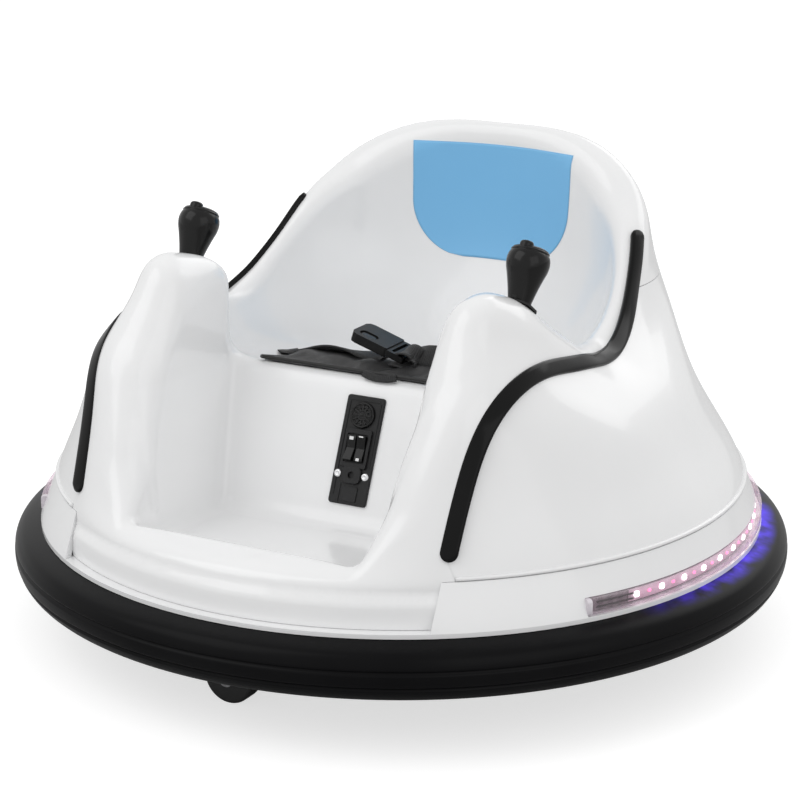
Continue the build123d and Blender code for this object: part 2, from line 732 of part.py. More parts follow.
hub_plane = Plane(origin=(wheel_inner_x, 0, DRIVE_R), x_dir=(0, 1, 0), z_dir=(1, 0, 0))
with BuildPart() as drive_hub:
    with BuildSketch(hub_plane):
        Circle(rim_r)
    extrude(amount=DRIVE_WIDTH)
    with BuildSketch(hub_plane.offset(DRIVE_WIDTH)):
        Circle(rim_r - 4)
        Circle(AXLE_R + 5, mode=Mode.SUBTRACT)
    extrude(amount=-(DRIVE_WIDTH - 8), mode=Mode.SUBTRACT)
    with BuildSketch(hub_plane):
        with PolarLocations((rim_r + AXLE_R) / 2, HUB_SPOKE_HOLES):
            Circle(7)
    extrude(amount=DRIVE_WIDTH, mode=Mode.SUBTRACT)
    with BuildSketch(hub_plane):
        Circle(AXLE_R)
    extrude(amount=-AXLE_REACH)
write_pair(drive_hub.part, "drive_hub")

with BuildPart() as gearbox:
    with Locations((gearbox_x, 0, (GEARBOX_FOOT_Z + GEARBOX_TOP_Z) / 2)):
        Box(GEARBOX_WIDTH, GEARBOX_LENGTH, GEARBOX_TOP_Z - GEARBOX_FOOT_Z)
    fillet(gearbox.edges().filter_by(Axis.X), 12)
    with Locations((gearbox_x - 5, 0, TRAY_FOOT_Z + TRAY_THICK)):
        Box(
            GEARBOX_WIDTH - 10, GEARBOX_LENGTH + 36, TRAY_THICK,
            align=(Align.CENTER, Align.CENTER, Align.MIN),
        )
    with BuildSketch(hub_plane.offset(-GEARBOX_GAP)):
        Circle(AXLE_R + RUNNING_CLEARANCE)
    extrude(amount=-(AXLE_REACH - GEARBOX_GAP + 1), mode=Mode.SUBTRACT)
write_pair(gearbox.part, "gearbox")

with BuildPart() as battery:
    with Locations((0, BATTERY_Y, TRAY_FOOT_Z + TRAY_THICK)):
        Box(*BATTERY, align=(Align.CENTER, Align.CENTER, Align.MIN))
    fillet(battery.edges().filter_by(Axis.Z), 4)
write(battery.part, "battery")

# ---- Swivel casters ---------------------------------------------------------------------------
plate_foot_z = TRAY_FOOT_Z - CASTER_PLATE_THICK
crown_foot_z = 2 * CASTER_WHEEL_R + CASTER_CROWN_LIFT
crown_top_z = crown_foot_z + CASTER_CROWN_THICK
boss_foot_z = crown_top_z + SEAT_CLEARANCE
fork_inner = CASTER_WHEEL_WIDTH / 2 + 1
for name, caster_y in (("front", -CASTER_Y), ("rear", CASTER_Y)):
    with BuildPart() as mount:
        with BuildSketch(Plane.XY.offset(plate_foot_z)):
            with Locations((0, caster_y)):
                RectangleRounded(CASTER_PLATE, CASTER_PLATE, 5)
        extrude(amount=CASTER_PLATE_THICK)
        with BuildSketch(Plane.XY.offset(boss_foot_z)):
            with Locations((0, caster_y)):
                Circle(CASTER_BOSS_R)
        extrude(amount=plate_foot_z - boss_foot_z)
        with BuildSketch(Plane.XY.offset(boss_foot_z)):
            with Locations((0, caster_y)):
                Circle(CASTER_KINGPIN_R + RUNNING_CLEARANCE)
        extrude(amount=TRAY_FOOT_Z - SEAT_CLEARANCE - boss_foot_z, mode=Mode.SUBTRACT)
    write(mount.part, f"caster_mount_{name}")

    side = Plane(origin=(0, caster_y, 0), x_dir=(1, 0, 0), z_dir=(0, -1, 0))
    with BuildPart() as fork:
        with BuildSketch(Plane.XY.offset(crown_foot_z)):
            with Locations((-CASTER_TRAIL / 2, caster_y)):
                RectangleRounded(CASTER_TRAIL + 22, 2 * (fork_inner + CASTER_FORK_THICK), 4)
        extrude(amount=CASTER_CROWN_THICK)
        with BuildSketch(Plane.XY.offset(crown_foot_z)):
            with Locations((0, caster_y)):
                Circle(CASTER_KINGPIN_R)
        extrude(amount=TRAY_FOOT_Z - 1 - crown_foot_z)
        for way in (-1, 1):
            inner = side.offset(way * fork_inner)
            with BuildSketch(inner):
                Polygon(
                    (6, crown_foot_z + 1), (-CASTER_TRAIL + 7, CASTER_WHEEL_R - 4),
                    (-CASTER_TRAIL - 7, CASTER_WHEEL_R - 4), (-CASTER_TRAIL - 8, crown_foot_z + 1),
                    align=None,
                )
                with Locations((-CASTER_TRAIL, CASTER_WHEEL_R)):
                    Circle(7.5)
            extrude(amount=way * CASTER_FORK_THICK)
        with BuildSketch(side):
            with Locations((-CASTER_TRAIL, CASTER_WHEEL_R)):
                Circle(CASTER_AXLE_R)
        extrude(amount=fork_inner + CASTER_FORK_THICK, both=True)
    write(fork.part, f"caster_fork_{name}")

    with BuildPart() as wheel:
        with BuildSketch(side):
            with Locations((-CASTER_TRAIL, CASTER_WHEEL_R)):
                Circle(CASTER_WHEEL_R)
                Circle(CASTER_AXLE_R + RUNNING_CLEARANCE, mode=Mode.SUBTRACT)
        extrude(amount=CASTER_WHEEL_WIDTH / 2, both=True)
        rim = wheel.edges().filter_by(GeomType.CIRCLE).sort_by(SortBy.RADIUS)[-2:]
        fillet(rim, 3)
    write(wheel.part, f"caster_wheel_{name}")
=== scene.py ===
"""Looks of the ride-on bumper car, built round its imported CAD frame."""
import json
import math

import bpy
import numpy as np
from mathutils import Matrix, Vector

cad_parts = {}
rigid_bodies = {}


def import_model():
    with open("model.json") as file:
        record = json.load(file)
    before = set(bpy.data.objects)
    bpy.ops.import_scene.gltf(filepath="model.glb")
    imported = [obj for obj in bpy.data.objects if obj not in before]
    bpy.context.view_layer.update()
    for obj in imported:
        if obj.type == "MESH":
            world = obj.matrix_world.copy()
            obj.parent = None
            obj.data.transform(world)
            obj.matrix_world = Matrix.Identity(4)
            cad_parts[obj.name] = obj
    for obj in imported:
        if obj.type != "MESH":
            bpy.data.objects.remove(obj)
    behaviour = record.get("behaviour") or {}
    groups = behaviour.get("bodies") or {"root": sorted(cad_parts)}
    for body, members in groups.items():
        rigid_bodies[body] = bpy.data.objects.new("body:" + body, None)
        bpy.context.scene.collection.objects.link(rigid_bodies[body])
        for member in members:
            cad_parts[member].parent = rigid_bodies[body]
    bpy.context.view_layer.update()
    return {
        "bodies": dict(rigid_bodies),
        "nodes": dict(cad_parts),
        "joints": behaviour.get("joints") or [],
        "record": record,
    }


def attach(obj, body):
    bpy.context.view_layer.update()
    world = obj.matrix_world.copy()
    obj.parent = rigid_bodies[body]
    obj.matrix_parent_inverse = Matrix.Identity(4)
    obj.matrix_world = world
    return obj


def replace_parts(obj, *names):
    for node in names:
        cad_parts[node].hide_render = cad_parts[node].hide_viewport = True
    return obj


MM = 0.001

# ---- Moulded body, in millimetres ---------------------------------------------------------------
# columns: height, half width, front reach, back reach, corner radius
BODY_SECTIONS = np.array([
    (104, 333, 333, 333, 332.5),
    (150, 329, 329, 329, 328.5),
    (165, 321, 323, 321, 315),
    (200, 297, 314, 301, 286),
    (247, 266, 298, 267, 236),
    (297, 218, 268, 250, 142),
    (343, 198, 246, 252, 137),
    (376, 192, 240, 246, 133),
    (410, 188, 235, 238, 139),
    (447, 183, 226, 228, 153),
], float)
# Crest of the arms and the seat back, seen from the side: y, z
CREST = np.array([
    (-420, 159), (-304, 159), (-288, 172), (-262, 236), (-236, 300), (-205, 352), (-176, 370), (-148, 371),
    (-112, 361), (-70, 333), (-30, 308), (10, 302), (50, 317), (92, 347), (128, 377), (160, 398),
    (182, 424), (210, 450), (300, 458),
], float)
# How steeply the crest falls away outward of ARM_CROWN_X: y, slope
CREST_FALL = np.array([
    (-420, 0), (-260, 0.05), (-215, 0.22), (-90, 0.28), (20, 0.26), (100, 0.2), (160, 0.08),
    (220, 0), (400, 0),
], float)
ARM_CROWN_X = 164
# How far the front apron stands out under its crease: height, reach
APRON_LIP = np.array([(90, 3), (131, 3), (140, -1.5), (147, 0), (470, 0)], float)
SILL_TOP = 159
FLOOR = 131
SILL_INNER = -286
TUB_WIDTHS = np.array([(100, 106), (131, 110), (185, 119), (243, 127.5), (262, 130), (460, 130)], float)
RISER_FOOT = (-148, 131)
SEAT_LIP = (-92, 261)
SEAT_SLOPE = math.tan(math.radians(15.5))
BOWL = np.array([(190, 85), (205, 112), (250, 158), (290, 184), (320, 196), (360, 203), (460, 206)], float)
# Plan line of each arm's rear face: x, y at its two ends
ARM_REAR = ((130, -92), (192, -44))
DOOR_BACK = -250
TUB_SIDE_COSINE = 0.985
WALL = 11
CELL = 5.0
# How far the corners of the lists above are eased
CREST_EASE, LIP_EASE, TUB_EASE = 9, 2, 3
# Blends where surfaces meet
RIM_BLEND, CROWN_BLEND, WELL_BLEND, SILL_BLEND, DOOR_BLEND = 24, 20, 14, 8, 9
SEAT_BLEND, BOWL_MOUTH_BLEND, ARM_REAR_BLEND = 26, 16, 8
EDGE_BLEND = 13
# Where the inner edge grows rounder up the arms' fronts: extra, y start and run, z start and run
EDGE_GROWTH = ((30, -160, 60, 150, 60), (36, -80, 90, 205, 140))


def smooth_curve(points):
    """A natural cubic through (x, y) rows, straight beyond its ends."""
    x, y = points[:, 0], points[:, 1]
    n, h = len(x), np.diff(x)
    a, b = np.zeros((n, n)), np.zeros(n)
    a[0, 0] = a[-1, -1] = 1
    for i in range(1, n - 1):
        a[i, i - 1:i + 2] = h[i - 1], 2 * (h[i - 1] + h[i]), h[i]
        b[i] = 6 * ((y[i + 1] - y[i]) / h[i] - (y[i] - y[i - 1]) / h[i - 1])
    m = np.linalg.solve(a, b)
    slopes = (
        (y[1] - y[0]) / h[0] - h[0] * m[1] / 6,
        (y[-1] - y[-2]) / h[-1] + h[-1] * m[-2] / 6,
    )

    def at(t):
        k = np.clip(np.searchsorted(x, t) - 1, 0, n - 2)
        s = np.clip(t, x[0], x[-1])
        p, q, w = x[k + 1] - s, s - x[k], h[k]
        inside = (m[k] * p ** 3 + m[k + 1] * q ** 3) / (6 * w)
        inside += (y[k] / w - m[k] * w / 6) * p + (y[k + 1] / w - m[k + 1] * w / 6) * q
        return inside + np.minimum(t - x[0], 0) * slopes[0] + np.maximum(t - x[-1], 0) * slopes[1]

    return at


def blunt_curve(points, reach):
    """Straight runs through (x, y) rows with every corner eased over reach."""
    fine = np.arange(points[0, 0], points[-1, 0], 0.5)
    line = np.interp(fine, points[:, 0], points[:, 1])
    width = int(3 * reach / 0.5)
    bell = np.exp(-0.5 * (np.arange(-width, width + 1) * 0.5 / reach) ** 2)
    eased = np.convolve(np.pad(line, width, mode="reflect", reflect_type="odd"), bell / bell.sum(), "valid")
    return lambda t: np.interp(t, fine, eased)


section_at = [smooth_curve(BODY_SECTIONS[:, [0, column]]) for column in range(1, 5)]
crest_at = blunt_curve(CREST, CREST_EASE)
crest_fall_at = blunt_curve(CREST_FALL, CREST_EASE)
apron_lip_at = blunt_curve(APRON_LIP, LIP_EASE)
tub_width_at = blunt_curve(TUB_WIDTHS, TUB_EASE)
bowl_at = smooth_curve(BOWL)


def smooth_max(a, b, reach):
    """The larger of a and b, rounded where they meet."""
    h = np.clip(0.5 + 0.5 * (a - b) / reach, 0, 1)
    return b + (a - b) * h + reach * h * (1 - h)


def smooth_min(a, b, reach):
    """The smaller of a and b, rounded where they meet."""
    return -smooth_max(-a, -b, reach)


def ease(t):
    """From 0 to 1, with no corner at either end."""
    t = np.clip(t, 0, 1)
    return t * t * (3 - 2 * t)


def rounded_section(x, y, z):
    """Signed distance from the body's rounded rectangle at height z."""
    half, front, back, radius = [column(z) for column in section_at]
    qx = np.abs(x) - (half - radius)
    qy = np.abs(y - (back - front) / 2) - ((front + back) / 2 - radius)
    return np.hypot(np.maximum(qx, 0), np.maximum(qy, 0)) + np.minimum(np.maximum(qx, qy), 0) - radius


def envelope(x, y, z):
    """Signed distance from the body's outer form, before the crest is cut."""
    d = rounded_section(x, y, z) - apron_lip_at(z)
    above, below = [rounded_section(x, y, z + step) - apron_lip_at(z + step) for step in (1, -1)]
    return d / np.sqrt(1 + ((above - below) / 2) ** 2)


def crest(x, y, z):
    """Signed distance above the crest of the arms and back."""
    slope = (crest_at(y + 1) - crest_at(y - 1)) / 2
    fall = crest_fall_at(y)
    beyond = smooth_max(np.abs(x) - ARM_CROWN_X, 0, CROWN_BLEND)
    return (z - crest_at(y) + fall * beyond) / np.sqrt(1 + slope ** 2 + fall ** 2)


def tub(x, y, z):
    """Footwell and the open front over the sill; negative in the air."""
    lean = (SEAT_LIP[0] - RISER_FOOT[0]) / (SEAT_LIP[1] - RISER_FOOT[1])
    sides = (np.abs(x) - tub_width_at(z)) * TUB_SIDE_COSINE
    riser = (y - RISER_FOOT[0] - (z - RISER_FOOT[1]) * lean) / math.hypot(1, lean)
    room = smooth_max(smooth_max(sides, riser, WELL_BLEND), FLOOR - z, WELL_BLEND)
    well = smooth_max(room, SILL_INNER - y, WELL_BLEND)
    door = smooth_max(smooth_max(room, SILL_TOP - z, SILL_BLEND), y - DOOR_BACK, SILL_BLEND)
    return smooth_min(well, door, DOOR_BLEND)


def bowl(x, y, z):
    """The bucket of the seat; negative in the air."""
    slope = (bowl_at(z + 1) - bowl_at(z - 1)) / 2
    round_wall = (np.hypot(x, y) - bowl_at(z)) / np.sqrt(1 + slope ** 2)
    seat = (SEAT_LIP[1] - SEAT_SLOPE * (y - SEAT_LIP[0]) - z) / math.hypot(1, SEAT_SLOPE)
    (x0, y0), (x1, y1) = ARM_REAR
    run = math.hypot(x1 - x0, y1 - y0)
    behind = ((np.abs(x) - x0) * (y1 - y0) - (y - y0) * (x1 - x0)) / run
    behind = smooth_max(behind, ARM_REAR[0][1] - ARM_REAR_BLEND - y, ARM_REAR_BLEND)
    return smooth_max(smooth_max(round_wall, seat, SEAT_BLEND), behind, BOWL_MOUTH_BLEND)


def moulding(points):
    """Signed distance from the whole white moulding, solid under its skin."""
    x, y, z = points.T
    skin = smooth_max(envelope(x, y, z), crest(x, y, z), RIM_BLEND)
    air = smooth_min(tub(x, y, z), bowl(x, y, z), WELL_BLEND)
    edge = EDGE_BLEND
    for extra, y_start, y_run, z_start, z_run in EDGE_GROWTH:
        edge = edge + extra * ease((y_start - y) / y_run) * ease((z - z_start) / z_run)
    return smooth_max(skin, -air, edge)


def hollow_moulding(points):
    """The moulding with its hidden inside left empty, and flat at its foot."""
    d = moulding(points)
    return np.maximum(np.maximum(d, -(d + WALL)), BODY_SECTIONS[0, 0] - points[:, 2])


def gradient(field, points, step=0.5):
    """The field's slope at each point, along x, y and z."""
    slope = np.empty_like(points)
    for axis in range(3):
        nudge = np.zeros(3)
        nudge[axis] = step
        slope[:, axis] = (field(points + nudge) - field(points - nudge)) / (2 * step)
    return slope


def surface_mesh(field, low, high, cell, settle=3):
    """Closed quad mesh of field = 0: one vertex in each crossed cell, then drawn onto the surface."""
    low, high = np.array(low, float), np.array(high, float)
    counts = np.ceil((high - low) / cell).astype(int) + 1
    axes = [low[i] + cell * np.arange(counts[i]) for i in range(3)]
    values = np.empty(counts)
    for i, x in enumerate(axes[0]):
        y, z = np.meshgrid(axes[1], axes[2], indexing="ij")
        slab = np.column_stack([np.full(y.size, x), y.ravel(), z.ravel()])
        values[i] = field(slab).reshape(y.shape)
    inside = values < 0
    corners = [(i, j, k) for i in (0, 1) for j in (0, 1) for k in (0, 1)]
    nx, ny, nz = counts - 1
    total = sum(inside[i:i + nx, j:j + ny, k:k + nz].astype(np.int8) for i, j, k in corners)
    crossed = (total > 0) & (total < 8)
    index = np.full(crossed.shape, -1)
    index[crossed] = np.arange(crossed.sum())
    cells = np.argwhere(crossed)
    summed, hits = np.zeros((len(cells), 3)), np.zeros(len(cells))
    for axis in range(3):
        step = np.eye(3, dtype=int)[axis]
        for corner in corners:
            if corner[axis]:
                continue
            a = values[tuple((cells + corner).T)]
            b = values[tuple((cells + corner + step).T)]
            cut = (a < 0) != (b < 0)
            t = np.where(cut, a / np.where(cut, a - b, 1), 0)
            summed += np.where(cut[:, None], cells + corner + t[:, None] * step, 0)
            hits += cut
    points = low + cell * summed / hits[:, None]
    faces = []
    for axis in range(3):
        u, v = [a for a in range(3) if a != axis]
        step = np.eye(3, dtype=int)
        edge_cut = np.diff(inside.astype(np.int8), axis=axis)
        for way in (1, -1):
            edges = np.argwhere(edge_cut == way)
            keep = (edges[:, u] > 0) & (edges[:, v] > 0)
            edges = edges[keep]
            ring = [edges - step[u] - step[v], edges - step[v], edges, edges - step[u]]
            quad = np.column_stack([index[tuple(r.T)] for r in ring])
            flip = (way == 1) == (axis != 1)
            faces.append(quad[:, ::-1] if flip else quad)
    faces = np.concatenate(faces)
    for _ in range(settle):
        d, slope = field(points), gradient(field, points)
        size = np.maximum((slope ** 2).sum(1), 0.05)
        move = np.clip(d / size, -cell / 2, cell / 2)
        points = points - move[:, None] * slope
    return points, faces


def last_within(low, high, within, rounds=30):
    """The farthest place from low towards high that is still within, found by halving."""
    for _ in range(rounds):
        middle = (low + high) / 2
        kept = within(middle)
        low, high = np.where(kept, middle, low), np.where(kept, high, middle)
    return low


# ---- Camera, floor and light --------------------------------------------------------------------
CAMERA_AZIMUTH, CAMERA_ELEVATION = 28.74, 16.50
CAMERA_DISTANCE = 2.281
CAMERA_TARGET = Vector((-0.00105, -0.00058, 0.2119))
CAMERA_LENS, CAMERA_SENSOR = 107.1, 36
WORLD_LIGHT, FLOOR_SHADE, FLOOR_GLOW, FLOOR_REACH = 0.80, 0.56, 0.66, 6000.0
# name, place and aim in metres, size in metres, watts
LAMPS = (
    ("key", (-1.3, -1.7, 2.3), (0, 0, 0.2), (2.2, 2.2), 17.5),
    ("fill", (2.4, -1.3, 1.5), (0, 0, 0.2), (2.2, 1.8), 7),
    ("rim", (0.6, 2.2, 1.8), (0, 0, 0.3), (2.4, 1.4), 12),
)


def set_camera():
    """The photograph's camera."""
    azimuth, elevation = math.radians(CAMERA_AZIMUTH), math.radians(CAMERA_ELEVATION)
    level = math.cos(elevation)
    back = Vector((math.sin(azimuth) * level, -math.cos(azimuth) * level, math.sin(elevation)))
    data = bpy.data.cameras.new("camera")
    data.lens, data.sensor_width = CAMERA_LENS, CAMERA_SENSOR
    camera = bpy.data.objects.new("camera", data)
    camera.location = CAMERA_TARGET + CAMERA_DISTANCE * back
    camera.rotation_euler = (-back).to_track_quat("-Z", "Y").to_euler()
    bpy.context.scene.collection.objects.link(camera)
    bpy.context.scene.camera = camera


def area_light(name, place, aim, size, watts):
    """A soft rectangular lamp that points at aim."""
    data = bpy.data.lights.new(name, "AREA")
    data.shape = "RECTANGLE"
    data.size, data.size_y = size
    data.energy = watts
    lamp = bpy.data.objects.new(name, data)
    lamp.location = place
    lamp.rotation_euler = (Vector(aim) - Vector(place)).to_track_quat("-Z", "Y").to_euler()
    bpy.context.scene.collection.objects.link(lamp)


def white_to_camera(nodes, links, seen, lit, output):
    """The camera sees one shader, and every other ray meets the other."""
    path, mix = nodes.new("ShaderNodeLightPath"), nodes.new("ShaderNodeMixShader")
    links.new(path.outputs["Is Camera Ray"], mix.inputs["Fac"])
    links.new(lit, mix.inputs[1])
    links.new(seen, mix.inputs[2])
    links.new(mix.outputs["Shader"], output)


def set_world():
    """A white surround that lights the object from all round."""
    world = bpy.data.worlds.new("studio")
    bpy.context.scene.world = world
    world.use_nodes = True
    nodes, links = world.node_tree.nodes, world.node_tree.links
    light, seen = nodes["Background"], nodes.new("ShaderNodeBackground")
    for node, strength in ((light, WORLD_LIGHT), (seen, 1.0)):
        node.inputs["Color"].default_value = (1, 1, 1, 1)
        node.inputs["Strength"].default_value = strength
    output = nodes["World Output"].inputs["Surface"]
    white_to_camera(nodes, links, seen.outputs["Background"], light.outputs["Background"], output)


def floor_material():
    """Pale and matt, and to the camera bright enough to meet the white surround."""
    material = bpy.data.materials.new("pale_floor")
    material.use_nodes = True
    nodes, links = material.node_tree.nodes, material.node_tree.links
    shader, glow = nodes["Principled BSDF"], nodes.new("ShaderNodeEmission")
    both = nodes.new("ShaderNodeAddShader")
    shader.inputs["Base Color"].default_value = (FLOOR_SHADE, FLOOR_SHADE, FLOOR_SHADE, 1)
    shader.inputs["Roughness"].default_value = 0.8
    shader.inputs["Specular IOR Level"].default_value = 0.0
    glow.inputs["Strength"].default_value = FLOOR_GLOW
    links.new(shader.outputs["BSDF"], both.inputs[0])
    links.new(glow.outputs["Emission"], both.inputs[1])
    output = nodes["Material Output"].inputs["Surface"]
    white_to_camera(nodes, links, both.outputs["Shader"], shader.outputs["BSDF"], output)
    return material


def set_stage():
    """Plain pale floor, a white surround and soft lamps."""
    bpy.context.scene.view_settings.view_transform = "Standard"
    set_world()
    corners = [(x * FLOOR_REACH, y * FLOOR_REACH, 0) for x, y in ((-1, -1), (1, -1), (1, 1), (-1, 1))]
    floor = new_mesh("studio_floor", corners, [(0, 1, 2, 3)], floor_material(), smooth=False)
    for lamp in LAMPS:
        area_light(*lamp)


# ---- Materials ----------------------------------------------------------------------------------
TEXTURES = {"noise": "ShaderNodeTexNoise", "cells": "ShaderNodeTexVoronoi", "wave": "ShaderNodeTexWave"}
TEXTURE_DETAIL, WAVE_DISTORTION = 3.0, 1.5
# Share of a tone pattern where the low colour ends and the high one starts
TONE_STOPS = (0.3, 0.7)
COAT_ROUGHNESS = 0.05
# Painted light: blue emission on the ring's top stands in for the light strips' glow falling on it; its
# colour and strength
PAINTED_GLOW_COLOUR, PAINTED_GLOW_STRENGTH = (0.06, 0.025, 0.62, 1), 2.0
# The painted blue glow's fades, each from none to full: degrees back from abreast, and metres out and up
PAINTED_GLOW_FRONT, PAINTED_GLOW_REAR, PAINTED_GLOW_REACH, PAINTED_GLOW_LEVEL = (-26, -8), (42, 18), (0.363, 0.348), (0.098, 0.102)
PAINTED_GLOW_STREAKS = (0.30, 0.72)


def texture(nodes, kind, scale):
    """A procedural texture by kind, and the output that carries its pattern."""
    node = nodes.new(TEXTURES[kind])
    node.inputs["Scale"].default_value = scale
    if kind == "cells":
        return node, node.outputs["Distance"]
    node.inputs["Detail"].default_value = TEXTURE_DETAIL
    if kind == "wave":
        node.inputs["Distortion"].default_value = WAVE_DISTORTION
    return node, node.outputs["Fac"]


def finish(name, low, high, rough, tone=("noise", 9), grain=("noise", 900), height=0.05, coat=0.0,
           metallic=0.0, specular=0.5, sheen=0.0):
    """A material whose colour drifts from low to high with one pattern, over another's fine relief in mm."""
    material = bpy.data.materials.new(name)
    material.use_nodes = True
    nodes, links = material.node_tree.nodes, material.node_tree.links
    shader = nodes["Principled BSDF"]
    place = nodes.new("ShaderNodeTexCoord")
    haze, pattern = texture(nodes, *tone)
    ramp = nodes.new("ShaderNodeValToRGB")
    for element, colour, spot in zip(ramp.color_ramp.elements, (low, high), TONE_STOPS):
        element.color = (*colour, 1)
        element.position = spot
    links.new(place.outputs["Object"], haze.inputs["Vector"])
    links.new(pattern, ramp.inputs["Fac"])
    links.new(ramp.outputs["Color"], shader.inputs["Base Color"])
    relief, ripples = texture(nodes, *grain)
    bump = nodes.new("ShaderNodeBump")
    bump.inputs["Distance"].default_value = height * MM
    links.new(place.outputs["Object"], relief.inputs["Vector"])
    links.new(ripples, bump.inputs["Height"])
    links.new(bump.outputs["Normal"], shader.inputs["Normal"])
    shader.inputs["Roughness"].default_value = rough
    shader.inputs["Coat Weight"].default_value = coat
    shader.inputs["Coat Roughness"].default_value = COAT_ROUGHNESS
    shader.inputs["Metallic"].default_value = metallic
    shader.inputs["Specular IOR Level"].default_value = specular
    shader.inputs["Sheen Weight"].default_value = sheen
    return material


def math_node(nodes, links, operation, *values):
    """One sum on numbers or sockets, and its result."""
    node = nodes.new("ShaderNodeMath")
    node.operation = operation
    for socket, value in zip(node.inputs, values):
        if isinstance(value, (int, float)):
            socket.default_value = value
        else:
            links.new(value, socket)
    return node.outputs["Value"]


def ramp_between(nodes, links, value, start, end):
    """0 below start and 1 above end; the other way round when start is above end."""
    node = nodes.new("ShaderNodeMapRange")
    node.interpolation_type = "SMOOTHSTEP"
    low, high, flip = (start, end, False) if start < end else (end, start, True)
    node.inputs["From Min"].default_value = low
    node.inputs["From Max"].default_value = high
    node.inputs["To Min"].default_value = 1.0 if flip else 0.0
    node.inputs["To Max"].default_value = 0.0 if flip else 1.0
    links.new(value, node.inputs["Value"])
    return node.outputs["Result"]


def ring_rubber():
    """Satin black, with the light strips' blue glow painted on the ring's top beside them as emission in the
    ring's own material.
    """
    material = finish(
        "ring_rubber", (0.0025, 0.0025, 0.003), (0.005, 0.005, 0.0055), 0.30, height=0.02, specular=0.08
    )
    nodes, links = material.node_tree.nodes, material.node_tree.links
    place, split = nodes.new("ShaderNodeTexCoord"), nodes.new("ShaderNodeSeparateXYZ")
    streaks, pattern = texture(nodes, "noise", 30)
    for node in (split, streaks):
        links.new(place.outputs["Object"], node.inputs["Vector"])
    x, y, z = [split.outputs[axis] for axis in "XYZ"]
    side = math_node(nodes, links, "ABSOLUTE", x)
    angle = math_node(nodes, links, "ARCTAN2", y, side)
    squares = [math_node(nodes, links, "MULTIPLY", value, value) for value in (side, y)]
    radius = math_node(nodes, links, "SQRT", math_node(nodes, links, "ADD", *squares))
    glow = PAINTED_GLOW_STRENGTH
    for value, fade in (
        (angle, np.radians(PAINTED_GLOW_FRONT)), (angle, np.radians(PAINTED_GLOW_REAR)), (radius, PAINTED_GLOW_REACH),
        (z, PAINTED_GLOW_LEVEL), (pattern, PAINTED_GLOW_STREAKS),
    ):
        glow = math_node(nodes, links, "MULTIPLY", glow, ramp_between(nodes, links, value, *fade))
    # Painted glow: the ring is no lamp, so this emission stands in for the strips' blue light on its top
    shader = nodes["Principled BSDF"]
    shader.inputs["Emission Color"].default_value = PAINTED_GLOW_COLOUR
    links.new(glow, shader.inputs["Emission Strength"])
    return material


def clear_plastic():
    """Clear light-strip cover: mostly see-through, a little pink, with a gloss."""
    material = finish("clear_cover", (0.86, 0.70, 0.78), (0.95, 0.88, 0.93), 0.08, ("noise", 60), height=0.2)
    nodes, links = material.node_tree.nodes, material.node_tree.links
    shader = nodes["Principled BSDF"]
    clear, mix = nodes.new("ShaderNodeBsdfTransparent"), nodes.new("ShaderNodeMixShader")
    clear.inputs["Color"].default_value = (0.99, 0.95, 0.98, 1)
    edge = nodes.new("ShaderNodeLayerWeight")
    edge.inputs["Blend"].default_value = 0.25
    veil = math_node(nodes, links, "MULTIPLY", edge.outputs["Facing"], 0.7)
    links.new(math_node(nodes, links, "ADD", veil, 0.06), mix.inputs["Fac"])
    links.new(clear.outputs["BSDF"], mix.inputs[1])
    links.new(shader.outputs["BSDF"], mix.inputs[2])
    links.new(mix.outputs["Shader"], nodes["Material Output"].inputs["Surface"])
    return material


def lamp_glow(name, colour, strength):
    """A lit chip, brighter and dimmer in patches."""
    material = finish(name, colour, colour, 0.4, tone=("cells", 300))
    nodes, links = material.node_tree.nodes, material.node_tree.links
    shader = nodes["Principled BSDF"]
    place = nodes.new("ShaderNodeTexCoord")
    patches, pattern = texture(nodes, "noise", 220)
    links.new(place.outputs["Object"], patches.inputs["Vector"])
    level = nodes.new("ShaderNodeMapRange")
    level.inputs["To Min"].default_value = 0.5 * strength
    level.inputs["To Max"].default_value = 1.4 * strength
    links.new(pattern, level.inputs["Value"])
    shader.inputs["Emission Color"].default_value = (*colour, 1)
    links.new(level.outputs["Result"], shader.inputs["Emission Strength"])
    return material


def paint(piece, material):
    """Give a piece, or a CAD node, one material."""
    if not piece.material_slots:
        piece.data.materials.append(material)
    for place in piece.material_slots:
        place.material = material


# ---- Ways to make pieces ------------------------------------------------------------------------
def new_mesh(name, points, faces, material=None, smooth=True):
    """A mesh object from points in millimetres."""
    mesh = bpy.data.meshes.new(name)
    metres = [tuple(p) for p in np.asarray(points, float) * MM]
    mesh.from_pydata(metres, [], [tuple(int(i) for i in f) for f in faces])
    mesh.validate()
    mesh.polygons.foreach_set("use_smooth", [smooth] * len(mesh.polygons))
    piece = bpy.data.objects.new(name, mesh)
    bpy.context.scene.collection.objects.link(piece)
    if material:
        mesh.materials.append(material)
    return piece


def apply_modifiers(piece):
    """Turn what the modifiers show into the piece's own mesh."""
    bpy.context.view_layer.update()
    shape = piece.evaluated_get(bpy.context.evaluated_depsgraph_get())
    result = bpy.data.meshes.new_from_object(shape)
    piece.modifiers.clear()
    piece.data = result


def cut(piece, tool, operation="DIFFERENCE"):
    """Boolean applied at once; the tool stays."""
    modifier = piece.modifiers.new("cut", "BOOLEAN")
    modifier.object, modifier.operation, modifier.solver = tool, operation, "MANIFOLD"
    apply_modifiers(piece)


def copy_of(piece, name):
    """A second piece with a mesh of its own."""
    twin = piece.copy()
    twin.data = piece.data.copy()
    twin.name = name
    bpy.context.scene.collection.objects.link(twin)
    return twin


def discard(*pieces):
    """Remove tools that aren't needed any more."""
    for piece in pieces:
        bpy.data.objects.remove(piece)


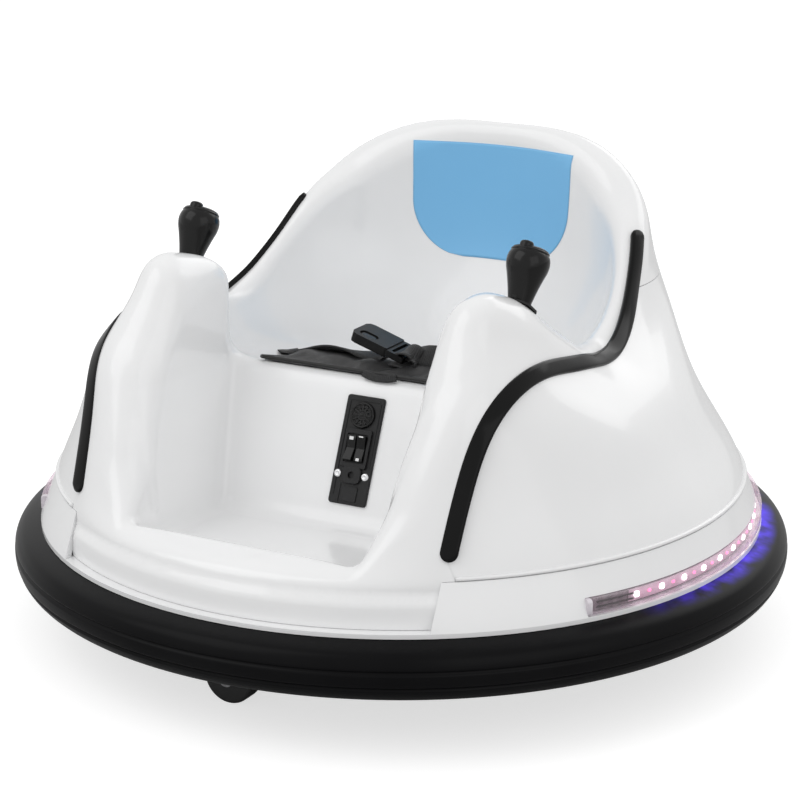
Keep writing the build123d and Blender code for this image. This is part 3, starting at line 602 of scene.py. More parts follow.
def mirrored(piece, name):
    """The same piece on the car's other side."""
    twin = copy_of(piece, name)
    twin.data.transform(((-1, 0, 0, 0), (0, 1, 0, 0), (0, 0, 1, 0), (0, 0, 0, 1)))
    twin.data.flip_normals()
    return twin


def bevel(piece, width, segments=3, angle=35):
    """Ease a piece's edges that are sharper than angle, width in millimetres."""
    modifier = piece.modifiers.new("soft_edges", "BEVEL")
    modifier.width, modifier.segments = width * MM, segments
    modifier.limit_method, modifier.angle_limit = "ANGLE", math.radians(angle)
    modifier.harden_normals = True


def shown(piece, body):
    """The piece, riding on its body."""
    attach(piece, body)
    return piece


def outward(points, faces):
    """The faces of a closed form, turned so that they all look out."""
    corners = np.array([(face[0], j, k) for face in faces for j, k in zip(face[1:-1], face[2:])])
    a, b, c = [np.asarray(points, float)[corners[:, i]] for i in range(3)]
    volume = (a * np.cross(b, c)).sum()
    return faces if volume > 0 else [tuple(face)[::-1] for face in faces]


def side_faces(rings, closed):
    """Quads between rings of equal count, and back to the first where the tube is closed on itself."""
    steps, count = len(rings), len(rings[0])
    faces = []
    for i in range(steps if closed else steps - 1):
        low, high = i * count, (i + 1) % steps * count
        faces += [(low + j, low + (j + 1) % count, high + (j + 1) % count, high + j) for j in range(count)]
    return faces


def rings_mesh(rings):
    """Points and outward faces of a capped tube through rings."""
    points, count = np.concatenate(rings), len(rings[0])
    last = len(points) - count
    caps = [tuple(range(count))[::-1], tuple(range(last, last + count))]
    return points, outward(points, side_faces(rings, False) + caps)


def loop_mesh(rings):
    """Points and outward faces of a tube that closes on itself."""
    points = np.concatenate(rings)
    return points, outward(points, side_faces(rings, True))


def lathe(name, profile, origin, along, material, turns=64):
    """A closed solid of revolution from (radius, height) rows that start and end on or near the axis."""
    along = np.array(along, float) / np.linalg.norm(along)
    side = np.cross(along, (0, 0, 1) if abs(along[2]) < 0.9 else (1, 0, 0))
    side /= np.linalg.norm(side)
    other = np.cross(along, side)
    angles = np.linspace(0, 2 * math.pi, turns, endpoint=False)[:, None]
    spokes = np.cos(angles) * side + np.sin(angles) * other
    rings = [np.array(origin) + along * height + radius * spokes for radius, height in profile]
    return new_mesh(name, *rings_mesh(rings), material)


def ring_lathe(name, outline, start, end, steps, material):
    """An outline of (radius, height) swept round the ring's axis between two angles in degrees."""
    rings = []
    for angle in np.radians(np.linspace(start, end, steps)):
        rings.append(np.array([(r * math.cos(angle), r * math.sin(angle), z) for r, z in outline]))
    return new_mesh(name, *rings_mesh(rings), material)


def prism(name, outline, low, high, frame, material=None):
    """Outline of (a, b) pushed from low to high in a frame of origin and three axes."""
    origin, a_axis, b_axis, up = [np.array(v, float) for v in frame]
    rings = [np.array([origin + a * a_axis + b * b_axis + h * up for a, b in outline]) for h in (low, high)]
    return new_mesh(name, *rings_mesh(rings), material, smooth=False)


def rounded_outline(width, height, radius, centre=(0, 0), steps=6):
    """A rectangle with round corners, anticlockwise."""
    points = []
    for turn, (x, y) in enumerate(((1, 1), (-1, 1), (-1, -1), (1, -1))):
        corner_x = centre[0] + x * (width / 2 - radius)
        corner_y = centre[1] + y * (height / 2 - radius)
        for step in range(steps + 1):
            angle = math.pi / 2 * (turn + step / steps)
            points.append((corner_x + radius * math.cos(angle), corner_y + radius * math.sin(angle)))
    return points


def round_corners(outline, rounds=2):
    """Corner cutting along an open outline, its ends kept."""
    points = np.array(outline, float)
    for _ in range(rounds):
        cuts = [[0.8 * a + 0.2 * b, 0.2 * a + 0.8 * b] for a, b in zip(points[:-1], points[1:])]
        points = np.concatenate([points[:1], np.concatenate(cuts)[1:-1], points[-1:]])
    return points


def sheet_mesh(rows):
    """Points and faces of an open sheet through rows of equal count."""
    count = len(rows[0])
    faces = [
        (i * count + j, (i + 1) * count + j, (i + 1) * count + j + 1, i * count + j + 1)
        for i in range(len(rows) - 1) for j in range(count - 1)
    ]
    return np.concatenate(rows), faces


def spline(points, count):
    """Points evenly along a smooth curve through control points."""
    points = np.array(points, float)
    reach = np.concatenate([[0], np.cumsum(np.linalg.norm(np.diff(points, axis=0), axis=1))])
    curves = [smooth_curve(np.column_stack([reach, points[:, i]])) for i in range(points.shape[1])]
    fine = np.linspace(0, reach[-1], count)
    return np.column_stack([curve(fine) for curve in curves])


# Webbing seen end on, with its woven edges: shares of half the width and of the thickness
WEBBING_SECTION = (
    (-1, -0.5), (-0.94, 0.5), (-0.5, 0.62), (0, 0.5), (0.5, 0.62), (0.94, 0.5), (1, -0.5),
    (0.5, -0.6), (0, -0.5), (-0.5, -0.6),
)


def ribbon(name, centres, sides, width, thick, material):
    """Flat webbing along centre points; sides are the directions across it."""
    rings = []
    for centre, side, run in zip(centres, sides, np.gradient(centres, axis=0)):
        side = side - run * (side @ run) / (run @ run)
        side /= np.linalg.norm(side)
        up = np.cross(run, side)
        up /= np.linalg.norm(up)
        rings.append(np.array([
            centre + side * across * width / 2 + up * lift * thick for across, lift in WEBBING_SECTION
        ]))
    return new_mesh(name, *rings_mesh(rings), material)


# ---- White moulding -----------------------------------------------------------------------------
SEAM_GAP = 0.6
REAR_SEAM, SEAM_TURN = 326, 6
APRON_FOOT, SKIRT_TOP, SILL_SPLIT, SILL_HALF_WIDTH = 110.9, 150.4, -264, 187
# The mouldings' depth behind their seam, and the levels at which that inner form is measured
SKIN, CORE_LEVELS = 11.5, (96, 470, 11.0)
# Middle of the left trim strip, from its foot at the front to its end at the back
STRIP_ROUTE = np.array([
    (188, -264, 166), (191, -241, 221.5), (199.5, -212, 275.5), (208.5, -153, 301),
    (216, -74, 294), (217, 0, 289), (204, 76, 319), (181, 134, 368),
], float)
STRIP_WIDTH, STRIP_PROUD, STRIP_TILT = 15.5, 2.6, 2.6
# The strip tilts outward at the front and inward at the back: where along y each starts, and its run
TILT_FRONT, TILT_REAR = (-150, 60), (-40, 90)
# The strip seen end on: shares of half its width, and of how far it stands proud or reaches in
STRIP_SECTION = (
    (-1, -2.5), (-1, 0.35), (-0.93, 0.72), (-0.80, 0.93), (-0.5, 1), (0, 1.04),
    (0.5, 1), (0.80, 0.93), (0.93, 0.72), (1, 0.35), (1, -2.5),
)
HEM_WIDTH, HEM_HEIGHT, HEM_RADIUS, HEM_PLACE, SKIRT_RADIUS = 4.4, 3.6, 1.7, (328.6, 152.4), 329
DECAL_TOP, DECAL_FOOT, DECAL_HALF_WIDTH, DECAL_CORNER, DECAL_FILM = 426.0, 311.0, 90.0, 56.0, 0.35
# The seat back's reach where the decal lies, and the reaches between which its face is looked for
BACK_REACH, BACK_FROM, BACK_TO = 204, 90.0, 212.0
LEVER_X, LEVER_Y, LEVER_PIVOT_Z = 172.0, -109.0, 332.0
LEVER_LEAN = math.radians(27)
# The opening round each lever: width, length and corner, and its reach along the lever
LEVER_WELL, WELL_REACH = (26, 35, 12), (-34, 40)
ARM_TOP_FALL = math.atan2(72, 110)
# A reach past the whole body, and a level below its mouldings
FAR, TOOL_FOOT = 420.0, 60
WORLD_AXES = ((0, 0, 0), (0, 1, 0), (0, 0, 1), (1, 0, 0))


def onto(field, points, rounds=5):
    """Points drawn onto field = 0, and the field's unit normals there."""
    for _ in range(rounds):
        d, slope = field(points), gradient(field, points)
        points = points - (d / np.maximum((slope ** 2).sum(1), 0.2))[:, None] * slope
    slope = gradient(field, points)
    return points, slope / np.linalg.norm(slope, axis=1)[:, None]


def core_piece():
    """The body's form drawn in by the skin's thickness."""
    angles = np.linspace(0, 2 * math.pi, 240, endpoint=False)
    across, along = np.cos(angles), np.sin(angles)
    near, far = np.zeros(len(angles)), np.full(len(angles), FAR)
    rings = []
    for z in np.arange(*CORE_LEVELS):
        reach = last_within(near, far, lambda out: rounded_section(out * across, out * along, z) <= -SKIN)
        rings.append(np.column_stack([reach * across, reach * along, np.full(len(angles), z)]))
    return new_mesh("core", *rings_mesh(rings), smooth=False)


def ease_normals(piece, field, sharp=0.6):
    """Shading normals straight from the field, except on cut faces."""
    mesh = piece.data
    points = np.empty(len(mesh.vertices) * 3)
    mesh.vertices.foreach_get("co", points)
    points = points.reshape(-1, 3) / MM
    normal = gradient(field, points, 0.8)
    normal /= np.maximum(np.linalg.norm(normal, axis=1), 1e-9)[:, None]
    flat = np.empty(len(mesh.polygons) * 3)
    mesh.polygons.foreach_get("normal", flat)
    flat = flat.reshape(-1, 3)
    counts = np.empty(len(mesh.polygons), int)
    mesh.polygons.foreach_get("loop_total", counts)
    owner = np.repeat(np.arange(len(mesh.polygons)), counts)
    corner = np.empty(len(mesh.loops), int)
    mesh.loops.foreach_get("vertex_index", corner)
    chosen = normal[corner]
    off = (chosen * flat[owner]).sum(1) < sharp
    chosen[off] = flat[owner][off]
    mesh.polygons.foreach_set("use_smooth", [True] * len(mesh.polygons))
    mesh.normals_split_custom_set([tuple(n) for n in chosen])


def lever_axis():
    """The levers' direction, and the way square to it that faces forward."""
    lean, rise = math.sin(LEVER_LEAN), math.cos(LEVER_LEAN)
    return np.array([0, lean, rise]), np.array([0, -rise, lean])


def arm_frame():
    """Origin and axes on the arm's top where the left lever comes through: across, up the slope, out."""
    axis, pivot = lever_axis()[0], np.array([LEVER_X, LEVER_Y, LEVER_PIVOT_Z])
    spot = pivot + axis * last_within(0.0, 60.0, lambda rise: moulding((pivot + axis * rise)[None])[0] < 0)
    level, drop = math.cos(ARM_TOP_FALL), math.sin(ARM_TOP_FALL)
    return spot, np.array([1, 0, 0]), np.array([0, -level, drop]), np.array([0, drop, level])


def room_below(name, low_x, high_x, top):
    """A box that reaches past the body in y and below it."""
    outline = [(-FAR, TOOL_FOOT), (FAR, TOOL_FOOT), (FAR, top), (-FAR, top)]
    return prism(name, outline, low_x, high_x, WORLD_AXES)


def under_seam(route, gap):
    """Everything below the seam line, moved down and in by gap."""
    rise = [(y, z) for _, y, z in route if y < 0 or z < REAR_SEAM]
    outline = [(SILL_SPLIT + gap, TOOL_FOOT), (SILL_SPLIT + gap, rise[0][1] - gap)]
    outline += [(y + gap, z - gap) for y, z in rise]
    outline += [(rise[-1][0] + SEAM_TURN, REAR_SEAM - gap), (FAR, REAR_SEAM - gap), (FAR, TOOL_FOOT)]
    return prism("under_seam", outline, -FAR, FAR, WORLD_AXES)


def make_shells(white):
    """The seat moulding and the outer moulding, one smooth form parted at the seam."""
    surface = surface_mesh(hollow_moulding, (-350, -350, 96), (350, 350, 462), CELL)
    seat = new_mesh("seat_moulding", *surface)
    route = spline(STRIP_ROUTE, 60)
    core = core_piece()
    seat_room, outer_room = under_seam(route, -SEAM_GAP / 2), under_seam(route, SEAM_GAP / 2)
    for tool in (seat_room, outer_room):
        cut(tool, core)
    outer = copy_of(seat, "outer_moulding")
    cut(outer, outer_room, "INTERSECT")
    skirt = room_below("skirt_room", -FAR, FAR, SKIRT_TOP)
    cut(outer, skirt)
    foot = room_below("foot_room", -FAR, FAR, APRON_FOOT)
    flanks = [
        room_below("flank_room", low_x, high_x, SKIRT_TOP)
        for low_x, high_x in ((-FAR, -SILL_HALF_WIDTH), (SILL_HALF_WIDTH, FAR))
    ]
    spot, *axes = arm_frame()
    wells = [
        prism("well", rounded_outline(*LEVER_WELL), *WELL_REACH, (spot * (way, 1, 1), *axes))
        for way in (-1, 1)
    ]
    for tool in (foot, seat_room, *flanks, *wells):
        cut(seat, tool)
    discard(core, skirt, foot, seat_room, outer_room, *flanks, *wells)
    for piece, node in ((seat, "seat_shell"), (outer, "outer_shell")):
        ease_normals(piece, moulding)
        paint(piece, white)
        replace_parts(shown(piece, "root"), node)


def make_hem(white):
    """Rolled lower edge of the outer shell, from one front seam round the back to the other."""
    start = math.degrees(math.asin(SILL_SPLIT / SKIRT_RADIUS))
    outline = rounded_outline(HEM_WIDTH, HEM_HEIGHT, HEM_RADIUS, HEM_PLACE, 5)
    shown(ring_lathe("shell_hem", outline, start, 180 - start, 300, white), "root")


def strip_stops(length, half):
    """Places along the strip, close together round its ends."""
    turn = half * (1 - np.cos(np.linspace(0.12, math.pi / 2, 8)))
    return np.concatenate([turn, np.linspace(half, length - half, 130)[1:-1], length - turn[::-1]])


def make_trim(material):
    """Black strips along the seam, lying on the moulding with rounded edges and ends."""
    centres, _ = onto(moulding, spline(STRIP_ROUTE, 150))
    along = np.gradient(centres, axis=0)
    along /= np.linalg.norm(along, axis=1)[:, None]
    half = STRIP_WIDTH / 2
    reach = np.concatenate([[0], np.cumsum(np.linalg.norm(np.diff(centres, axis=0), axis=1))])
    stops = strip_stops(reach[-1], half)
    centres = np.column_stack([np.interp(stops, reach, centres[:, i]) for i in range(3)])
    centres, normals = onto(moulding, centres, 2)
    along = np.column_stack([np.interp(stops, reach, along[:, i]) for i in range(3)])
    rings = []
    for stop, centre, run, normal in zip(stops, centres, along, normals):
        side = np.cross(run, normal)
        side /= np.linalg.norm(side)
        end = min(stop, reach[-1] - stop)
        wide = half if end >= half else math.sqrt(max(half ** 2 - (half - end) ** 2, 0.01))
        proud = STRIP_PROUD * (1 if end >= half else 0.5 + 0.5 * wide / half)
        across = np.array([centre + side * s * wide for s, _ in STRIP_SECTION])
        across, out = onto(moulding, across, 2)
        front = ease((TILT_FRONT[0] - centre[1]) / TILT_FRONT[1])
        rear = ease((centre[1] - TILT_REAR[0]) / TILT_REAR[1])
        tilt = STRIP_TILT * min(end / half, 1) * (front - rear)
        lifts = [h * (proud + 1 + s * tilt) if h > 0 else h * STRIP_PROUD for s, h in STRIP_SECTION]
        rings.append(across + out * np.array(lifts)[:, None])
    left = new_mesh("trim_left", *rings_mesh(rings), material)
    for piece, node in ((left, "trim_strip_left"), (mirrored(left, "trim_right"), "trim_strip_right")):
        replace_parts(shown(piece, "root"), node)


def make_decal(material):
    """The plain blue panel printed on the seat back."""
    columns = np.linspace(-1, 1, 61)
    rows = []
    for z in np.linspace(DECAL_FOOT, DECAL_TOP, 47):
        drop = max(DECAL_CORNER - (z - DECAL_FOOT), 0)
        width = DECAL_HALF_WIDTH - DECAL_CORNER + math.sqrt(max(DECAL_CORNER ** 2 - drop ** 2, 0))
        angle = columns * width / BACK_REACH
        level = np.full(len(angle), z)

        def on_row(reach):
            return np.column_stack([reach * np.sin(angle), reach * np.cos(angle), level])

        near, far = np.full(len(angle), BACK_FROM), np.full(len(angle), BACK_TO)
        reach = last_within(near, far, lambda out: moulding(on_row(out)) > 0)
        rows.append(on_row(reach - DECAL_FILM))
    decal = new_mesh("backrest_decal", *sheet_mesh(rows), material)
    film = decal.modifiers.new("film", "SOLIDIFY")
    film.thickness, film.offset = 0.3 * MM, 0
    shown(decal, "root")


# ---- Bumper ring and light strips ---------------------------------------------------------------
RING_OUTLINE = [
    (312, 54), (345, 54), (357, 56), (365.5, 62), (370.4, 71), (371.9, 80), (371.4, 89), (369.2, 95.5),
    (365.4, 100.2), (360, 102.6), (352, 104.8), (345, 106.3), (336, 106.5), (312, 106.5), (310, 104),
    (310, 56),
]
RING_STEPS, RING_FACE = 240, 355
# Two moulded grooves round the ring's side: heights, half width, depth
GROOVE_HEIGHTS, GROOVE_HALF, GROOVE_DEPTH = (71, 86), 1.5, 2.0
LENS_START, LENS_END = -34.0, 62.0
LENS_LOW, LENS_HIGH, LENS_OUTER, LENS_INNER = 111.0, 126.0, 346.0, 336.3
LENS_GAP, LENS_CORNER, CAP_LAP = 0.4, 3.2, 0.3
TAPE_OUTLINE = [(337.4, 113.2), (338.3, 113.2), (338.3, 123.8), (337.4, 123.8)]
CHIP_SEAT, CHIP_HEIGHT, CHIP_CORNER, CHIP_STEP, CHIP_END = 338.2, 118.5, 1.2, 5.2, 60
LEAD_REACH, LEAD_HEIGHTS, LEAD_THICK = 340, (116.2, 120.8), 1.7


def make_ring(material):
    """The bumper ring, its corners cut twice round, with two grooves round its side."""
    outline = np.array(RING_OUTLINE + RING_OUTLINE[:1], float)
    for _ in range(2):
        outline = np.concatenate([
            [0.75 * a + 0.25 * b, 0.25 * a + 0.75 * b] for a, b in zip(outline[:-1], outline[1:])
        ])
        outline = np.concatenate([outline, outline[:1]])
    fine = []
    for a, b in zip(outline[:-1], outline[1:]):
        parts = max(1, int(np.linalg.norm(b - a) / 0.8)) if a[0] > RING_FACE else 1
        fine += [a + (b - a) * i / parts for i in range(parts)]
    radii, heights = np.array(fine).T
    outside = radii > RING_FACE + 3
    for height in GROOVE_HEIGHTS:
        radii = radii - GROOVE_DEPTH * np.exp(-((heights - height) / GROOVE_HALF) ** 4) * outside
    turns = np.linspace(0, 2 * math.pi, RING_STEPS, endpoint=False)
    rings = [np.column_stack([radii * math.cos(turn), radii * math.sin(turn), heights]) for turn in turns]
    ring = new_mesh("ring_cushion", *loop_mesh(rings), material)
    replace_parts(shown(ring, "root"), "bumper_ring")


def chip_row(name, first, size, proud, material):
    """Lit chips round the ring's axis from the angle first, as one piece."""
    points, faces = [], []
    for angle in np.radians(np.arange(first, CHIP_END, CHIP_STEP)):
        out = np.array([math.cos(angle), math.sin(angle), 0])
        along = np.array([-math.sin(angle), math.cos(angle), 0])
        rings = []
        for lift, share in ((0, 1), (proud * 0.7, 0.95), (proud, 0.6)):
            outline = rounded_outline(size[0] * share, size[1] * share, CHIP_CORNER * share, steps=2)
            rings.append(np.array([
                out * (CHIP_SEAT + lift) + along * a + np.array([0, 0, CHIP_HEIGHT + b]) for a, b in outline
            ]))
        chip, sides = rings_mesh(rings)
        faces += [tuple(len(points) + corner for corner in face) for face in sides]
        points += list(chip)
    return new_mesh(name, points, faces, material)


def make_lights(clear, clear_end, backing, white_chip, pink_chip, wire):
    """Both light strips: clear tube, backing tape, lit chips and the leads at its front end."""
    width, height = LENS_OUTER - LENS_INNER - LENS_GAP, LENS_HIGH - LENS_LOW - LENS_GAP
    centre = ((LENS_OUTER + LENS_INNER) / 2, (LENS_LOW + LENS_HIGH) / 2)
    outline = rounded_outline(width, height, LENS_CORNER, centre, 5)
    tube = ring_lathe("light_tube", outline, LENS_START, LENS_END, 140, clear)
    tape = ring_lathe("light_tape", TAPE_OUTLINE, -26, 61, 90, backing)
    pieces = [(tube, "clear_lens"), (tape, "led_board")]
    pieces.append((chip_row("light_white_chips", -24.6, (5.2, 5.2), 2.2, white_chip), "led_board"))
    pieces.append((chip_row("light_pink_chips", -22.0, (3.6, 3.0), 1.6, pink_chip), "led_board"))
    outline = rounded_outline(width + CAP_LAP, height + CAP_LAP, LENS_CORNER, centre, 5)
    cap = ring_lathe("light_cap", outline, LENS_START - 0.1, LENS_START + 0.7, 4, clear_end)
    bevel(cap, 0.5)
    pieces.append((cap, "clear_lens"))
    for height in LEAD_HEIGHTS:
        outline = rounded_outline(LEAD_THICK, LEAD_THICK, 0.84, (LEAD_REACH, height), 3)
        pieces.append((ring_lathe("lead", outline, LENS_START + 2, -25.4, 20, wire), "black_trim"))
    for piece, slot in pieces:
        twin = mirrored(piece, piece.name + "_right")
        for one in (piece, twin):
            shown(one, "root")
    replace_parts(tube, "led_lens_left", "led_lens_right")


# ---- Levers -------------------------------------------------------------------------------------
# Outlines along the lever's axis, up from its pivot: radius, height
KNOB_OUTLINE = [
    (0.3, 18), (9.2, 18), (10.0, 19), (10.6, 22), (13.1, 33), (16.2, 44), (18.6, 51), (19.4, 55.5),
    (19.5, 59), (18.9, 62.6), (17.8, 65.2), (17.2, 65.8), (17.2, 66.6), (17.5, 67.0), (17.3, 67.6),
    (16.6, 68.4), (16.2, 68.6), (16.2, 69.1), (15.9, 69.5), (12.8, 71.0), (8, 71.8), (0.3, 72),
]
BUTTON_OUTLINE = [(0.3, 66), (6.2, 66), (6.2, 71.8), (5.8, 73.2), (4.8, 74.2), (3, 74.7), (0.3, 74.8)]
BUTTON_FORWARD = 10.5
BOOT_OUTLINE = [
    (0.3, 9), (10.5, 9), (11.6, 11), (11.3, 13), (10.2, 14.5), (10.9, 16.5), (9.6, 18.6), (0.3, 18.6),
]


def make_levers(gloss, soft):
    """Each joystick's knob with its push button, and the boot round its stem."""
    axis, forward = lever_axis()
    for way, side in ((1, "left"), (-1, "right")):
        pivot = np.array([way * LEVER_X, LEVER_Y, LEVER_PIVOT_Z])
        knob = lathe(f"knob_{side}", round_corners(KNOB_OUTLINE), pivot, axis, gloss)
        seat = pivot + BUTTON_FORWARD * forward
        button = lathe(f"knob_button_{side}", round_corners(BUTTON_OUTLINE), seat, axis, gloss, 40)
        boot = lathe(f"lever_boot_{side}", round_corners(BOOT_OUTLINE), pivot, axis, soft, 40)
        for piece in (knob, button, boot):
            shown(piece, f"lever_{side}")
        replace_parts(knob, f"lever_knob_{side}")
        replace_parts(button, f"lever_button_{side}")


# ---- Control panel ------------------------------------------------------------------------------
RISER_LEAN = math.atan2(SEAT_LIP[0] - RISER_FOOT[0], SEAT_LIP[1] - RISER_FOOT[1])
PANEL_ACROSS, PANEL_UP, PANEL_BACK = 20, 72.3, 2.2
ACROSS = np.array([1, 0, 0])
PANEL_NORMAL = np.array([0, -math.cos(RISER_LEAN), math.sin(RISER_LEAN)])
PANEL_RISE = np.array([0, math.sin(RISER_LEAN), math.cos(RISER_LEAN)])
PANEL_CENTRE = np.array([PANEL_ACROSS, RISER_FOOT[0], RISER_FOOT[1]]) + PANEL_UP * PANEL_RISE
panel_frame = (PANEL_CENTRE, ACROSS, PANEL_RISE, PANEL_NORMAL)
# Raised lines on the plate: side, width, height, corner, centre, top, eased edge
PANEL_RELIEF = (
    ("rim_left", 1.4, 88, 0.6, (-15.6, 1), 3.3, 0.3), ("rim_top", 30, 1.2, 0.5, (0, 46), 3.2, 0.3),
    ("rim_right", 1.2, 60, 0.5, (16.4, 15), 3.2, 0.3), ("patch", 15, 14, 1.2, (1.5, -40.5), 3.6, 0.4),
    ("rib", 1.2, 17, 0.5, (-9.5, -40), 3.4, 0.3),
)
SPEAKER_UP, SPEAKER_BARS = 32.5, 6
SPEAKER_OUTLINE = [
    (0.3, 2), (12.3, 2), (12.3, 4.3), (11.4, 5.4), (10.4, 5.4), (9.6, 4.4), (8.8, 4.2), (8.0, 5.0),
    (7.2, 5.0), (6.4, 4.2), (5.6, 4.2), (4.9, 5.2), (4.1, 5.2), (3.3, 4.4), (2.2, 4.6), (1.4, 5.6),
    (0.3, 5.8),
]
SWITCH_UP, ROCKER_SIDE, ROCKER_HALF = 1.5, 5.2, 4.3
# Each rocker seen from its side, along the panel and out of it
ROCKERS = (
    (-1, "left", "light_rocker", [
        (-12, 3), (-12, 8.6), (-11.3, 9.2), (-9, 8.6), (0, 5.2), (9, 6.6), (11.2, 6.4), (12, 5.8), (12, 3),
    ]),
    (1, "right", "power_rocker", [
        (-12, 3), (-12, 6.2), (-11.3, 6.9), (-9, 6.9), (0, 5.4), (9, 8.0), (11.2, 8.6), (12, 8.0), (12, 3),
    ]),
)
# Plain marks on the rockers: width, height, centre, and the rocker's height there
ROCKER_MARKS = (
    ("lamp", 4.2, 3.0, (-5.2, 10.3), 6.7), ("on", 4.6, 1.1, (5.4, 12.4), 8.6),
    ("ring", 3.4, 2.6, (4.9, -8.6), 6.9),
)
PORT_DOWN, SCREW_SIDE = 23, 14.0
SCREW_OUTLINE = [(0.2, 2), (3.9, 2), (3.9, 3.2), (3.5, 4.0), (2.6, 4.7), (1.5, 5.0), (1.3, 4.4), (0.2, 4.3)]


def panel_block(name, width, height, radius, centre, low, high, material, soft):
    """A rounded plate on the panel, between two heights over its seat."""
    piece = prism(name, rounded_outline(width, height, radius, centre), low, high, panel_frame, material)
    bevel(piece, soft)
    return shown(piece, "root")


def sink(piece, outline, low, high, frame, soft=None):
    """Cut an outline into a piece, and ease the edges anew where soft says how far."""
    hole = prism("hole", outline, low, high, frame)
    cut(piece, hole)
    discard(hole)
    if soft:
        bevel(piece, soft)


def make_speaker(matt, gloss):
    """The round grille with its bars."""
    seat = PANEL_CENTRE + SPEAKER_UP * PANEL_RISE
    grille = lathe("speaker_grille", round_corners(SPEAKER_OUTLINE, 1), seat, PANEL_NORMAL, gloss, 72)
    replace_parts(shown(grille, "root"), "speaker")
    for turn in range(SPEAKER_BARS):
        angle = turn * math.pi / SPEAKER_BARS
        along = math.cos(angle) * ACROSS + math.sin(angle) * PANEL_RISE
        beside = math.cos(angle) * PANEL_RISE - math.sin(angle) * ACROSS
        outline = rounded_outline(19, 1.1, 0.4)
        bar = prism(f"speaker_bar_{turn}", outline, 4.2, 5.1, (seat, along, beside, PANEL_NORMAL), matt)
        shown(bar, "root")


def make_switches(matt, gloss, mark):
    """The switch housing with its two rockers and their plain marks."""
    centre = (0, SWITCH_UP)
    housing = panel_block("switch_frame", 27, 36, 2, centre, PANEL_BACK, 5.0, matt, 0.7)
    sink(housing, rounded_outline(21, 26.5, 1, centre), 3.2, 9, panel_frame, 0.6)
    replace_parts(housing, "switch_housing")
    for way, side, node, outline in ROCKERS:
        seat = PANEL_CENTRE + SWITCH_UP * PANEL_RISE + way * ROCKER_SIDE * ACROSS
        rocker_frame = (seat, PANEL_RISE, PANEL_NORMAL, ACROSS)
        rocker = prism(f"rocker_{side}", outline, -ROCKER_HALF, ROCKER_HALF, rocker_frame, gloss)
        bevel(rocker, 0.6)
        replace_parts(shown(rocker, "root"), node)
    for name, width, height, centre, lift in ROCKER_MARKS:
        outline = rounded_outline(width, height, 0.5, centre, 3)
        piece = prism(f"mark_{name}", outline, lift - 0.8, lift + 0.12, panel_frame, mark)
        shown(piece, "root")


def make_panel(matt, gloss, chrome, mark):
    """The black control panel, its speaker, rockers, charging port and screws."""
    plate = panel_block("panel_plate", 39, 101, 3, (0, 0), -2, 2.6, matt, 0.9)
    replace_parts(plate, "control_panel")
    for side, width, height, radius, centre, top, soft in PANEL_RELIEF:
        panel_block(f"panel_{side}", width, height, radius, centre, PANEL_BACK, top, matt, soft)
    make_speaker(matt, gloss)
    make_switches(matt, gloss, mark)
    port = panel_block("charge_port_plate", 20, 16, 5, (0, -PORT_DOWN), PANEL_BACK, 5.2, matt, 0.7)
    sink(port, rounded_outline(6.4, 6.4, 3.19, (0.5, -PORT_DOWN - 0.2)), 2.4, 9, panel_frame, 0.6)
    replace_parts(port, "charge_port")
    for way, side in ((-1, "left"), (1, "right")):
        spot = PANEL_CENTRE + way * SCREW_SIDE * ACROSS - PORT_DOWN * PANEL_RISE
        screw = lathe(f"screw_{side}", SCREW_OUTLINE, spot, PANEL_NORMAL, chrome, 36)
        shown(screw, "root")


# ---- Seat pad, belt and buckle ------------------------------------------------------------------
SEAT_DOWN = np.array([0, 1, -SEAT_SLOPE]) / math.hypot(1, SEAT_SLOPE)
SEAT_UP = np.array([0, SEAT_SLOPE, 1]) / math.hypot(1, SEAT_SLOPE)
SEAT_EDGE = np.array([0, SEAT_LIP[0], SEAT_LIP[1]], float)
PAD_HALF, PAD_FRONT, PAD_REAR, PAD_CROWN = 106.0, 3.0, 158.0, 11.0
PAD_REAR_R, PAD_FRONT_R = 58.0, 10.0
PAD_RIM, PAD_CELL, PAD_FILL = 3.0, 4.5, 0.7
# The cover's cloth: frames run, pressure, and how far a point may move; below HELD_BELOW it stays sewn
CLOTH_FRAMES, CLOTH_PRESSURE, SWELL_CAP, HELD_BELOW = 20, 4.0, 5.0, 3.6
# Round cords along the pad: inset from its rim, height over the seat, radius
PAD_CORDS = (("pad_piping", 0.6, 3.2, 1.9), ("pad_seam", 6.5, 4.0, 0.7))


def pad_outline(inset=0.0, steps=14):
    """The pad's plan, anticlockwise, in across and down the slope."""
    points = []
    for cx, cy, radius, start in (
        (PAD_HALF - PAD_FRONT_R, PAD_FRONT + PAD_FRONT_R, PAD_FRONT_R, -90),
        (PAD_HALF - PAD_REAR_R, PAD_REAR - PAD_REAR_R, PAD_REAR_R, 0),
        (PAD_REAR_R - PAD_HALF, PAD_REAR - PAD_REAR_R, PAD_REAR_R, 90),
        (PAD_FRONT_R - PAD_HALF, PAD_FRONT + PAD_FRONT_R, PAD_FRONT_R, 180),
    ):
        for angle in np.radians(np.linspace(start, start + 90, steps)):
            points.append((cx + (radius - inset) * math.cos(angle), cy + (radius - inset) * math.sin(angle)))
    return points


def on_seat(across, down, lift):
    """Points by their place across the seat, down its slope and over it."""
    return SEAT_EDGE + across[:, None] * ACROSS + down[:, None] * SEAT_DOWN + lift * SEAT_UP


